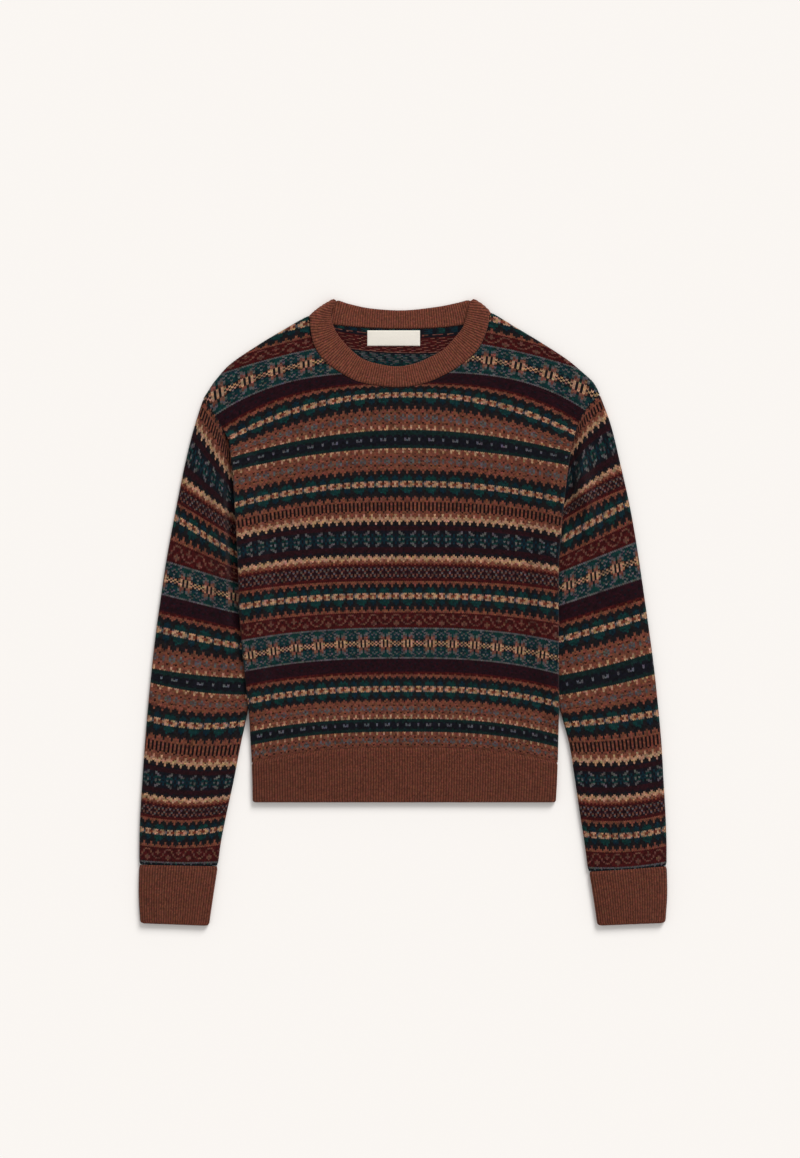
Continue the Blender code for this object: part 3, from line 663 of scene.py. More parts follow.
def swell(x, y):
    """How far the body's upper layer stands off the lower one: a low dome with soft folds."""
    half = (side_x("right", y) - side_x("left", y)) / 2
    middle = (side_x("right", y) + side_x("left", y)) / 2
    across = ease((1.0 - np.abs(x - middle) / half) / SWELL_ACROSS)
    along = ease((y - RIB_SEAM_SIDE) / SWELL_ALONG) * ease((SWELL_TOP - y) / SWELL_ALONG)
    return np.maximum(FRONT_SWELL + folds(FRONT_FOLDS, x, y), 0.0) * across * along


def seam_height(x):
    """Height of the seam between the body's knit and its rib."""
    middle = (side_x("left", RIB_SEAM_SIDE) + side_x("right", RIB_SEAM_SIDE)) / 2
    half = (side_x("right", RIB_SEAM_SIDE) - side_x("left", RIB_SEAM_SIDE)) / 2
    droop = np.minimum(np.abs(x - middle) / half, 1.0) ** RIB_SEAM_POWER
    return RIB_SEAM_MIDDLE + (RIB_SEAM_SIDE - RIB_SEAM_MIDDLE) * droop


def band_line(half, edge, count):
    """One edge of the neckband, read evenly along a half's table: "seam" or "free"."""
    columns = [getattr(half, edge + axis) for axis in ("_x", "_y")]
    return smooth_points(columns, np.linspace(0.0, 1.0, count))


# ---------------------------------------------------------------- outlines

Outline = namedtuple("Outline", "rolled seams necks clip")
ROLL = BODY_HEIGHT / 2                          # radius of the body's folded sides and shoulders
ROLL_SPARE = (math.pi / 2 - 1) * ROLL           # cloth in the roll past its flat width


def evenly(line):
    """The points of a line, spaced out evenly."""
    line = np.asarray(line, float)
    along = np.concatenate(([0.0], np.cumsum(np.hypot(*np.diff(line, axis=0).T))))
    count = max(int(round(along[-1] / OUTLINE_STEP)), 1) + 1
    at = np.linspace(0.0, along[-1], count)
    return np.stack([np.interp(at, along, line[:, axis]) for axis in (0, 1)], -1)


def moved(line, distance):
    """A line moved to its left by a distance."""
    ahead = np.gradient(line, axis=0)
    length = np.hypot(ahead[:, 0], ahead[:, 1])[:, None]
    return line + np.stack((-ahead[:, 1], ahead[:, 0]), -1) / length * distance


def body_outline(neck):
    """A panel's outline, clockwise from its lower left corner, with spare cloth at its rolls."""
    seam = band_line(neck, "seam", SEAM_STEPS)
    across = np.linspace(side_x("right", RIB_SEAM_SIDE), side_x("left", RIB_SEAM_SIDE), SEAM_STEPS)
    parts = {
        "neck": evenly(moved(seam, NECK_TUCK)),
        "rib": evenly(np.stack((across, seam_height(across)), -1)),
    }
    heights = np.linspace(RIB_SEAM_SIDE, SIDES.height[-1], CURVE_STEPS)
    for side, corner, way in (("left", seam[0], 1), ("right", seam[-1], -1)):
        underarm = armhole_point(side, [ARMHOLE_OPEN_SHARE[side]])
        edge = np.stack((side_x(side, heights), heights), -1)
        edge = edge[edge[:, 1] < underarm[0, 1] - OUTLINE_STEP]
        hole = armhole_point(side, np.linspace(ARMHOLE_OPEN_SHARE[side], 0.0, HOLE_STEPS))
        shoulder = np.concatenate((hole[-1:], SHOULDERS[side], corner[None]))
        shoulder = smooth_points(shoulder.T, np.linspace(0.0, 1.0, CURVE_STEPS))
        parts[side + "_side"] = evenly(np.concatenate((edge, underarm)))[::way]
        parts[side + "_hole"] = evenly(hole)[::way]
        parts[side + "_shoulder"] = evenly(shoulder)[::way]
    order = ("left_side", "left_hole", "left_shoulder", "neck",
             "right_shoulder", "right_hole", "right_side", "rib")
    rolled = [name for name in order if "side" in name or "shoulder" in name]
    clip = [moved(parts[name], ROLL_SPARE) if name in rolled else parts[name] for name in order]
    return Outline(
        [parts[name] for name in rolled],
        [parts[name] for name in ("left_hole", "right_hole", "rib")],
        [parts["neck"]],
        np.concatenate(clip),
    )


def inside(points, polygon):
    """Which points lie inside a polygon."""
    x, y = points[:, 0], points[:, 1]
    result = np.zeros(len(points), bool)
    for (x0, y0), (x1, y1) in zip(polygon, np.roll(polygon, -1, axis=0)):
        if y0 != y1:
            crossing = (y0 > y) != (y1 > y)
            result ^= crossing & (x < x0 + (x1 - x0) * (y - y0) / (y1 - y0))
    return result


def quads_inside(plan, polygon):
    """Which quads of a grid have their middles inside a polygon."""
    centres = (plan[:-1, :-1] + plan[1:, :-1] + plan[1:, 1:] + plan[:-1, 1:]) / 4
    return inside(centres.reshape(-1, 2), polygon).reshape(centres.shape[:2])


def nearest(points, line):
    """The nearest point of a line to each point, and how far the point lies to its right."""
    start = line[:-1]
    step = line[1:] - start
    share = ((points[:, None] - start) * step).sum(-1) / (step**2).sum(-1)
    foot = start + step * np.clip(share, 0.0, 1.0)[..., None]
    away = points[:, None] - foot
    best = np.argmin((away**2).sum(-1), axis=1)
    pick = np.arange(len(points))
    away = away[pick, best]
    ahead = step[best] / np.hypot(step[best, 0], step[best, 1])[:, None]
    right = np.stack((ahead[:, 1], -ahead[:, 0]), -1)
    offset = (away * right).sum(-1)
    distance = np.hypot(away[:, 0], away[:, 1])
    return foot[pick, best], np.copysign(distance, offset), right


# ---------------------------------------------------------------- making meshes

# A sheet of quads: points by row and column, which quads there are, their colours, where the
# points stand in stitches and on the baked picture, whether it faces the other way, and whether
# its rows or columns close up.
Sheet = namedtuple("Sheet", "points keep colours stitch bake flip close_rows close_columns",
                   defaults=(False, False, False))


def grid_places(across, down):
    """Places of a grid's points, from those across and those down."""
    return np.stack(np.broadcast_arrays(across, down[:, None]), -1)


def spread(rows, columns, low=0.0, high=1.0):
    """Even places for a grid's points on the baked picture, between two heights on it."""
    return grid_places(np.linspace(0.0, 1.0, columns + 1), np.linspace(high, low, rows + 1))


def whole_sheet(points, colours, stitch, **shape):
    """A sheet with all its quads, spread over the whole of the baked picture."""
    rows, columns = colours.shape[:2]
    keep = np.ones((rows, columns), bool)
    return Sheet(points, keep, colours, stitch, spread(rows, columns), **shape)


def add_piece(name, sheets, material):
    """A named mesh object from one or more sheets."""
    points, quads, colours, stitch, bake = [], [], [], [], []
    count = 0
    for sheet in sheets:
        rows, columns = sheet.keep.shape
        grid = np.arange((rows + 1) * (columns + 1)).reshape(rows + 1, columns + 1)
        joined = grid.copy()
        if sheet.close_rows:
            joined[-1] = joined[0]
        if sheet.close_columns:
            joined[:, -1] = joined[:, 0]
        corners = [
            np.stack((g[:-1, :-1], g[1:, :-1], g[1:, 1:], g[:-1, 1:]), -1)[sheet.keep]
            for g in (grid, joined)
        ]
        if sheet.flip:
            corners = [quad[:, ::-1] for quad in corners]
        used, new = np.unique(corners[1], return_inverse=True)
        points.append(sheet.points.reshape(-1, 3)[used])
        quads.append(new.reshape(-1, 4) + count)
        colours.append(sheet.colours[sheet.keep])
        stitch.append(sheet.stitch.reshape(-1, 2)[corners[0].ravel()])
        bake.append(sheet.bake.reshape(-1, 2)[corners[0].ravel()])
        count += len(used)
    quads = np.concatenate(quads)
    mesh = bpy.data.meshes.new(name)
    mesh.vertices.add(count)
    mesh.vertices.foreach_set("co", np.concatenate(points).astype(np.float32).ravel())
    mesh.loops.add(quads.size)
    mesh.loops.foreach_set("vertex_index", quads.astype(np.int32).ravel())
    mesh.polygons.add(len(quads))
    mesh.polygons.foreach_set("loop_start", np.arange(0, quads.size, 4, dtype=np.int32))
    mesh.update(calc_edges=True)
    for layer, places in (("OFBake", bake), ("stitch", stitch)):
        uv = mesh.uv_layers.new(name=layer)
        uv.uv.foreach_set("vector", np.concatenate(places).astype(np.float32).ravel())
    # The faces' colours: the yarns' own, uneven from stitch to stitch, with painted light on the
    # neckband's brown.
    yarn = mesh.attributes.new("yarn", "FLOAT_COLOR", "FACE")
    shades = np.concatenate(colours)
    shades = np.concatenate((shades, np.ones((len(shades), 1))), -1)
    yarn.data.foreach_set("color", shades.astype(np.float32).ravel())
    mesh.validate()
    mesh.shade_smooth()
    mesh.materials.append(material)
    piece = bpy.data.objects.new(name, mesh)
    bpy.context.collection.objects.link(piece)
    return piece


# ---------------------------------------------------------------- the patterned knit

def yarns():
    """The yarn colours set for this scene."""
    return bpy.context.scene.jumper_yarns


def unevenness(courses, wales, seed):
    """How each stitch differs in brightness and hue from its yarn's colour, by course and wale."""
    random = np.random.default_rng(seed)
    uneven = random.normal(1.0, yarns().stitch_variation, (courses, wales, 1))
    uneven = uneven * random.normal(1.0, yarns().course_variation, (courses, 1, 1))
    uneven = uneven * random.normal(1.0, yarns().hue_variation, (courses, wales, 3))
    return np.clip(uneven, *UNEVEN_LIMITS)


def chart_colours(chart, first_wale, wales, seed, legs=1):
    """Linear colour of every leg of every stitch, a little uneven as dyed wool is."""
    palette = {letter: getattr(yarns(), name)[:] for letter, name in YARN_NAMES.items()}
    repeat = np.array([[palette[letter] for letter in row * (REPEAT // len(row))] for row in chart])
    stitches = repeat[:, (first_wale + np.arange(wales)) % REPEAT]
    return np.repeat(stitches * unevenness(len(chart), wales, seed), legs, axis=1)


def stitch_grid(rows, first_wale, wales, legs=2):
    """Course and wale of every point of a knit; of two legs a stitch, the middle hangs lower."""
    column = np.arange(legs * wales + 1)
    wale = first_wale - 0.5 + column / legs
    middle = column % legs
    course = np.arange(rows + 1)[:, None] + LEG_SLANT * middle
    course[0] = 0.0
    return np.minimum(course, rows), np.broadcast_to(wale, course.shape), middle


def lay_body(courses, course, wale):
    """Plan points of the body's stitches, by course and wale number."""
    def read(column):
        return smooth_curve(courses.course, getattr(courses, column), course)

    right = wale > 0
    away = np.abs(wale)
    pitch = read("pitch")
    outer = np.where(right, read("pitch_right"), read("pitch_left"))
    widening = WIDEN_END - WIDEN_START
    wider = np.clip(away - WIDEN_START, 0.0, widening) ** 2 / (2 * widening)
    wider += np.maximum(away - WIDEN_END, 0.0)
    across = pitch * away + (outer - pitch) * wider
    droop = np.where(right, read("droop_right"), read("droop_left"))
    x = read("middle") + np.sign(wale) * across
    y = read("height") - droop * (across / DROOP_REACH) ** read("power")
    return np.stack((x, y), -1)


def rim(keep):
    """Which of a grid's points lie on the edge of the kept quads, and which lie near it."""
    def points_of(quads):
        wide = np.pad(quads, 1)
        return wide[1:, 1:] | wide[:-1, 1:] | wide[1:, :-1] | wide[:-1, :-1]

    edge = points_of(keep) & points_of(~np.pad(keep, 1))[1:-1, 1:-1]
    inner = keep
    for _ in range(RIM_WIDTH):
        wide = np.pad(inner, 1)
        inner = inner & wide[:-2, 1:-1] & wide[2:, 1:-1] & wide[1:-1, :-2] & wide[1:-1, 2:]
    return edge, points_of(keep & ~inner)


def fit_outline(plan, keep, outline):
    """Moves a panel's rim to its outline and rolls it over; gives plan, drop and lean."""
    edge, near = rim(keep)
    plan = plan.copy()
    closed = np.concatenate((outline.clip, outline.clip[:1]))
    plan[edge] = nearest(plan[edge], closed)[0]
    points = plan[near]
    drop = np.zeros(len(points))
    lean = np.zeros((len(points), 2))
    for line in outline.rolled:
        _, into, right = nearest(points, line)
        angle = np.clip((into + ROLL_SPARE) / ROLL, 0.0, math.pi / 2)
        here = np.abs(into) < ROLL
        shift = np.where(here, ROLL * (1 - np.cos(angle)) - into, 0.0)
        points = points + right * shift[:, None]
        drop = np.maximum(drop, np.where(here, ROLL * (1 - np.sin(angle)), 0.0))
        lean += right * np.where(here, np.cos(angle), 0.0)[:, None]
    for lines, depth in ((outline.seams, SEAM_DIP), (outline.necks, NECK_DIP)):
        for line in lines:
            away = np.abs(nearest(points, line)[1])
            drop = np.maximum(drop, depth * (1 - ease(away / SEAM_REACH)))
    plan[near] = points
    drops = np.zeros(plan.shape[:2])
    drops[near] = drop
    leans = np.zeros(plan.shape)
    leans[near] = lean
    return plan, drops, leans


def knit_relief(middle):
    """Depth of the grooves between the wales and down their middles."""
    return np.where(middle == 1, STITCH_GROOVE, WALE_GROOVE)


def stitch_places(wale):
    """Stitch places of a knit's points: wales across, and courses down."""
    return grid_places(wale + 0.5, np.arange(len(wale)))


def body_panel(half):
    """The front panel, or the back panel's outer face on the surface, cut to its outline."""
    front = half == "front"
    legs = 2 if front else 1
    course, wale, middle = stitch_grid(len(BODY_CHART), -WALES_HALF, BODY_WALES, legs)
    plan = lay_body(FRONT_COURSES if front else BACK_COURSES, course - CHART_TOP, wale)
    outline = body_outline(BAND_FRONT if front else BAND_BACK)
    keep = quads_inside(plan, outline.clip)
    plan, drop, lean = fit_outline(plan, keep, outline)
    x, y = plan[..., 0], plan[..., 1]
    depth = knit_relief(middle)
    if front:
        z = lift(x, y) + BODY_HEIGHT + swell(x, y) - drop - depth
    else:
        z = lift(x, y) + drop + depth
    return Sheet(
        raised(plan + lean * depth[..., None], z), keep,
        chart_colours(BODY_CHART, -WALES_HALF, BODY_WALES, SEEDS[half], legs), stitch_places(wale),
        spread(*keep.shape, high=1.0 if front else OUTSIDE_SHARE), flip=not front)


def neck_patch():
    """The back's inner face where the neck shows it, in lines of stitches and floats."""
    line, wale, _ = stitch_grid(len(INNER_CHART), -WALES_HALF, BODY_WALES, 1)
    plan = lay_body(INNER_COURSES, line / 2, wale)
    upper, lower = (band_line(neck, "seam", CURVE_STEPS) for neck in (BAND_BACK, BAND_FRONT))
    keep = quads_inside(plan, np.concatenate((upper, lower[::-1])))
    return Sheet(
        raised(plan, KNIT_WALL - STITCH_GROOVE * (1 - line % 2)), keep,
        chart_colours(INNER_CHART, -WALES_HALF, BODY_WALES, SEEDS["neck"]), stitch_places(wale),
        spread(*keep.shape, low=PATCH_SHARE))


# ---------------------------------------------------------------- sleeves

def round_tube(width, reach, travel):
    """Distance across and height, on the way round a flattened tube.

    travel runs from 0 at one edge over the top to 1 at the other edge, and back below to 2.
    """
    quarter = reach * math.pi / 2
    flat = width - 2 * reach
    half = flat + 2 * quarter
    along = np.where(travel > 1.0, 2.0 - travel, travel) * half
    first = np.clip(along / reach, 0.0, math.pi / 2)
    last = np.clip((half - along) / reach, 0.0, math.pi / 2)
    across = reach * (1 - np.cos(first)) + np.clip(along - quarter, 0.0, flat)
    across = across + reach * np.cos(last)
    height = reach * np.sin(np.minimum(first, last))
    return across, np.where(travel > 1.0, -height, height)


def tube_edges(edges, outer_y, inner_y):
    """Plan points of a sleeve's two edges at heights on them."""
    outer_x = smooth_curve(edges.outer_y[::-1], edges.outer_x[::-1], outer_y)
    inner_x = smooth_curve(edges.inner_y[::-1], edges.inner_x[::-1], inner_y)
    return np.stack((outer_x, outer_y), -1), np.stack((inner_x, inner_y), -1)


def sleeve(side):
    """One sleeve: a flattened tube of stitches from the armhole to the cuff."""
    rows = len(SLEEVE_CHART)
    course, wale, middle = stitch_grid(rows, 0, SLEEVE_WALES)
    travel = (wale + 0.5) / SLEEVE_WALES * 2
    courses = SLEEVE_COURSES[side]
    outer_y, inner_y, sag = (smooth_curve(courses.course, column, course) for column in courses[1:])
    outer, inner = tube_edges(SLEEVE_EDGES[side], outer_y, inner_y)
    width = np.hypot(*np.moveaxis(inner - outer, -1, 0))
    to_end = np.minimum(course, rows - course)
    depth = knit_relief(middle) + SEAM_DIP * (1 - ease(to_end / SEAM_COURSES))
    across, height = round_tube(width - 2 * depth, SLEEVE_HEIGHT / 2 - depth, travel)
    share = 1.0 - (across + depth) / width
    plan, normal = course_line(outer, inner, side, share)
    bow = armhole_bow(side, share) * (1 - ease(course / ARMHOLE_EASE))
    plan = plan + normal * (bow - sag * 4 * share * (1 - share))[..., None]
    x, y = plan[..., 0], plan[..., 1]
    past = (x - side_x(side, y)) * (-1.0 if side == "left" else 1.0)
    dome = ease(width * share / SLEEVE_RAMP)
    dome = dome * ease(np.minimum(past, width * (1 - share)) / SLEEVE_RAMP)
    ends = ease(course / SWELL_COURSES) * ease((rows - course) / SWELL_COURSES)
    loose = np.maximum(SLEEVE_SWELL + folds(SLEEVE_FOLDS[side], x, y), 0.0)
    sunk = ease((SINK_REACH - np.abs(past)) / SINK_RAMP) * beside_rise(side, y)
    stands = loose * dome * (1.0 - sunk) - SLEEVE_SINK * sunk
    points = raised(plan, SLEEVE_HEIGHT / 2 + height + stands * ends * (travel < 1.0))
    colours = chart_colours(
        SLEEVE_CHART, -SLEEVE_WALES // 2, SLEEVE_WALES, SEEDS["sleeve_" + side], legs=2)
    return whole_sheet(points, colours, stitch_places(wale), flip=side == "left")


# ---------------------------------------------------------------- ribs

def rib_wave(ribs):
    """Four columns a rib: its place in ribs, its groove's depth, and how low its stitch hangs."""
    place = np.arange(4 * ribs + 1) / 4
    wave = 0.5 + 0.5 * np.cos(2 * math.pi * place)
    return place, RIB_GROOVE * wave, RIB_HANG * (1 - wave)


def rib_grid(length, ribs):
    """A ribbed wall's grid, down it, round its free edge and some way back up inside.

    Gives the share of the way down, the depth under the flat wall, and the stitch places: ribs
    across, and courses down.
    """
    outer = np.linspace(0.0, length - EDGE_ROUND, int(round(length / RIB_ROW)) + 1)
    angle = np.linspace(0.0, math.pi, TURN_STEPS + 1)[1:]
    back = int(round(EDGE_TURN / RIB_ROW))
    inner = np.linspace(length - EDGE_ROUND, length - EDGE_TURN, back)[1:]
    along = np.concatenate((outer, length - EDGE_ROUND + EDGE_ROUND * np.sin(angle), inner))
    depth = np.concatenate((
        SEAM_DIP * (1 - ease(outer / SEAM_REACH)), EDGE_ROUND * (1 - np.cos(angle)),
        inner * 0.0 + 2 * EDGE_ROUND))
    place, groove, hang = rib_wave(ribs)
    hanging = np.arange(len(along)) < len(outer) - 1
    down = along[:, None] + hanging[:, None] * hang
    down[0] = 0.0
    courses = np.concatenate(([0.0], np.cumsum(np.abs(np.diff(along))))) / RIB_ROW
    return np.clip(down / length, 0.0, 1.0), depth[:, None] + groove, grid_places(place, courses)


def rib_sheet(node, points, stitch, painted_light_factor=1.0, **shape):
    """A ribbed sheet in heathered brown, a little uneven from stitch to stitch, made lighter by any
    painted light it is given.
    """
    rows, columns = len(points) - 1, points.shape[1] - 1
    uneven = 1 + (unevenness(rows, columns // 2, SEEDS[node]) - 1) * yarns().rib_variation
    colours = np.repeat(uneven, 2, axis=1) * np.array(yarns().rib_brown[:]) * painted_light_factor
    return whole_sheet(points, colours, stitch, **shape)


def draw_in(corner, left):
    """How far a rounded corner draws an edge in, that much before the end."""
    short = np.clip(corner - left, 0.0, corner)
    return corner - np.sqrt(corner**2 - short**2)


def hem_rib(half):
    """The front or the back of the hem's rib, which together make one flat ring."""
    length = RIB_SEAM_MIDDLE - HEM_Y
    ribs = int(round((side_x("right", HEM_Y) - side_x("left", HEM_Y)) / RIB_PITCH))
    share, depth, stitch = rib_grid(length, ribs)
    travel = stitch[..., 0] / ribs
    if half == "back":
        travel = 2.0 - travel
    drawn = draw_in(HEM_CORNER, length * (1 - share))
    y = RIB_SEAM_SIDE + (HEM_Y - RIB_SEAM_SIDE) * share
    for _ in range(3):      # each place across depends a little on the place down, and back
        left = side_x("left", y) + drawn
        right = side_x("right", y) - drawn
        across, height = round_tube(right - left - 2 * depth, HEM_HEIGHT / 2 - depth, travel)
        x = left + across + depth
        y = seam_height(x) + (HEM_Y - seam_height(x)) * share
    points = np.stack((x, y, HEM_HEIGHT / 2 + height), -1)
    return rib_sheet("hem_rib_" + half, points, stitch, flip=half == "back")


def cuff(side):
    """One cuff: a flat ribbed tube with a rounded free edge."""
    edges = CUFF_EDGES[side]
    length = math.hypot(edges.outer_x[0] - edges.outer_x[-1], edges.outer_y[0] - edges.outer_y[-1])
    ribs = int(round(2 * abs(edges.outer_x[0] - edges.inner_x[0]) / RIB_PITCH))
    share, depth, stitch = rib_grid(length, ribs)
    outer = smooth_points(edges[:2], share)
    inner = smooth_points(edges[2:], share)
    width = np.hypot(*np.moveaxis(inner - outer, -1, 0))
    inset = depth + draw_in(CUFF_CORNER, length * (1 - share))
    across, height = round_tube(
        width - 2 * inset, CUFF_HEIGHT / 2 - depth, stitch[..., 0] / ribs * 2)
    plan, _ = course_line(outer, inner, side, 1.0 - (across + inset) / width)
    points = raised(plan, CUFF_HEIGHT / 2 + height)
    return rib_sheet("cuff_" + side, points, stitch, flip=side == "left", close_columns=True)


def band_path():
    """The neckband's way round: positions along it, and by them its edges, normal and lead.

    The lead is how far the free edge runs ahead of the seam in the tables, which the ribs make up
    for to stand square to the band.
    """
    centre = BAND_LOW + BAND_FOLD
    top = BAND_LOW + 2 * BAND_FOLD
    share = np.linspace(0.0, 1.0, BAND_STEPS)
    near_fold = ease(1.0 - np.minimum(share, 1.0 - share) / BAND_RISE)

    def along_half(half, height, way):
        seam, free = (
            raised(band_line(half, edge, BAND_STEPS), height)[::way] for edge in ("seam", "free"))
        ahead = np.gradient(seam + free, axis=0)
        ahead = ahead / np.linalg.norm(ahead, axis=1)[:, None]
        lead = ((free - seam) * ahead).sum(1)
        return np.column_stack((seam, free, np.broadcast_to((0.0, 0.0, way), seam.shape), lead))

    def round_fold(row, turn, angles):
        corner = [column[row] for column in BAND_FRONT]
        seam = np.array((*corner[:2], centre))
        free = np.array((*corner[2:], centre))
        ahead = (free - seam) / np.linalg.norm(free - seam)
        out = turn * np.array((-ahead[1], ahead[0], 0.0))
        angle = np.radians(angles)[:, None]
        normal = np.sin(angle) * out + np.cos(angle) * np.array((0.0, 0.0, 1.0))
        away = BAND_FOLD * normal
        return np.column_stack((seam + away, free + away, normal, np.full(len(angles), np.nan)))

    parts = [
        along_half(BAND_FRONT, BAND_HIGH + (top - BAND_HIGH) * near_fold, 1),
        round_fold(-1, -1.0, FOLD_TURNS),
        along_half(BAND_BACK, np.full(BAND_STEPS, BAND_LOW), -1),
        round_fold(0, 1.0, FOLD_TURNS[::-1]),
    ]
    ring = np.concatenate(parts + [parts[0][:1]])
    middle = (ring[:, 0:3] + ring[:, 3:6]) / 2
    travel = np.concatenate(([0.0], np.cumsum(np.linalg.norm(np.diff(middle, axis=0), axis=1))))
    first_bend = BAND_STEPS + len(FOLD_TURNS) // 2
    bends = [first_bend, first_bend + BAND_STEPS + len(FOLD_TURNS)]
    return travel, ring, travel[bends], ring[bends, 6:9]


def steady_lead(travel, lead):
    """The lead at places along the neckband, carried over the folds and evened out."""
    known = ~np.isnan(lead)
    at = np.linspace(0.0, travel[-1], LEAD_STEPS + 1)
    even = np.interp(at, travel[known], lead[known])[:-1]
    window = np.ones(2 * LEAD_REACH + 1) / (2 * LEAD_REACH + 1)
    for _ in range(2):
        ringed = np.concatenate((even[-LEAD_REACH:], even, even[:LEAD_REACH]))
        even = np.convolve(ringed, window, "valid")
    return at, np.append(even, even[0])


def neckband():
    """The neckband: one ribbed ring, folded over at the two shoulder points."""
    travel, ring, bends, bend_normals = band_path()
    round_length = travel[-1]
    ribs = int(round(round_length / BAND_PITCH))
    place, groove, _ = rib_wave(ribs)

    # Row by row: up the outer face, over the free edge, down the inner face and under the seam.
    angle = np.linspace(0.0, math.pi, TURN_STEPS + 1)[1:-1]
    up = np.linspace(0.0, 1.0, BAND_ROWS + 1)
    flat = up * 0.0
    share = np.concatenate((up, angle * 0.0 + 1.0, up[::-1], [0.0]))[:, None]
    tip = np.concatenate((flat, np.sin(angle), flat, [0.0]))[:, None]
    outer = np.concatenate((flat, 1 - np.cos(angle), flat + 2.0, [0.0])) * EDGE_ROUND
    side = np.concatenate((flat + 1.0, np.cos(angle), flat - 1.0, [1.0]))
    lines = np.concatenate((
        np.arange(BAND_ROWS + 1.0), BAND_ROWS + angle * BAND_TURN_COURSES,
        BAND_ROWS + 2 + np.arange(BAND_ROWS + 1.0), [2.0 * BAND_ROWS + 3]))

    at = place * round_length / ribs
    at = at - np.interp(at, *steady_lead(travel, ring[:, 9])) * (share - 0.5)
    at = at % round_length
    seam, free, normal = (
        np.stack([np.interp(at, travel, ring[:, column]) for column in range(first, first + 3)], -1)
        for first in (0, 3, 6))
    normal = normal / np.linalg.norm(normal, axis=-1)[..., None]
    span = np.linalg.norm(free - seam, axis=-1)
    away = np.abs(at[..., None] - bends)
    away = np.minimum(away, round_length - away)
    short = BEND_ROUND * ease(1 - away / ROUND_REACH).sum(-1)
    bow = (BEND_OUT * share + BEND_BOW * np.sin(math.pi * share))[..., None]
    bow = bow * (ease(1 - away / BEND_REACH) @ bend_normals)
    thin = BAND_EDGE_THIN * (1 - ease(share[:, 0] * np.mean(span) / SEAM_REACH))
    depth = (outer + thin * side)[:, None] + groove
    along = share * (span - EDGE_ROUND - short) + tip * EDGE_ROUND
    way = (free - seam) / span[..., None]
    points = seam + bow + way * along[..., None] + normal * (RIB_WALL / 2 - depth)[..., None]
    # The neckband is the same yarn as the hem and cuffs, made lighter by painted light.
    return rib_sheet(
        "neckband", points, grid_places(place, lines), yarns().neckband_painted_light,
        flip=True, close_rows=True, close_columns=True)


def label():
    """The bare woven label inside the back neck, its edges lying down on the knit."""
    size = np.array(LABEL_SIZE)
    place = grid_places(
        np.linspace(-1.0, 1.0, LABEL_COLUMNS + 1), np.linspace(1.0, -1.0, LABEL_ROWS + 1))
    edge = ((1 - np.abs(place)) * size / 2).min(-1)
    z = KNIT_WALL + LABEL_WALL * np.sqrt(1 - (1 - np.clip(edge / LABEL_ROUND, 0.0, 1.0)) ** 2)
    z = z + LABEL_LIFT * (1 - place**2).prod(-1)
    points = raised(LABEL_CENTRE + place * size / 2, z)
    colours = np.ones((LABEL_ROWS, LABEL_COLUMNS, 3)) * np.array(yarns().label_cream[:])
    return whole_sheet(points, colours, spread(LABEL_ROWS, LABEL_COLUMNS) * size / LABEL_THREAD)


# ---------------------------------------------------------------- finishes

# The noises of the finishes: size of their patches, detail and roughness.
FIBRES = (0.0005, 3.0, 0.65)        # single fibres of the wool
FLECKS = (0.0022, 2.0, 0.6)         # light and dark places in the patterned knit
HEATHER = (0.0022, 3.0, 0.7)        # and in the ribs
SLUBS = (0.0005, 2.0, 0.6)          # uneven threads of the label
FLECK_CONTRAST = 0.22
HEATHER_CONTRAST = 0.16
RIB_FIBRE_CONTRAST = 0.30
SLUB_SHADE = (0.93, 1.04)

LEG_POWER = 0.5             # below 1 for full round stitch legs,
COURSE_POWER = 0.3          # and stitches that fill their course
LEG_PUFF = 0.00035          # relief of the stitch legs,
FIBRE_RELIEF = 0.6          # of the fibres as a share of it,
WEAVE_PUFF = 0.00008        # and of the label's threads
RIB_LEG_LOW = 0.7           # puff of a rib's stitches between their two legs
RIB_PAINTED_GAP_SHADE = 0.75        # painted shade: brightness of the ribs between two stitches,
WEAVE_PAINTED_SHADE = 0.90          # and painted shade of the label between two threads

WOOL_ROUGHNESS = (0.82, 0.98)
WOOL = {"Specular_IOR_Level": 0.06, "Sheen_Weight": 0.05, "Sheen_Roughness": 0.5}
TAPE_ROUGHNESS = (0.55, 0.72)
TAPE = {"Specular_IOR_Level": 0.4}


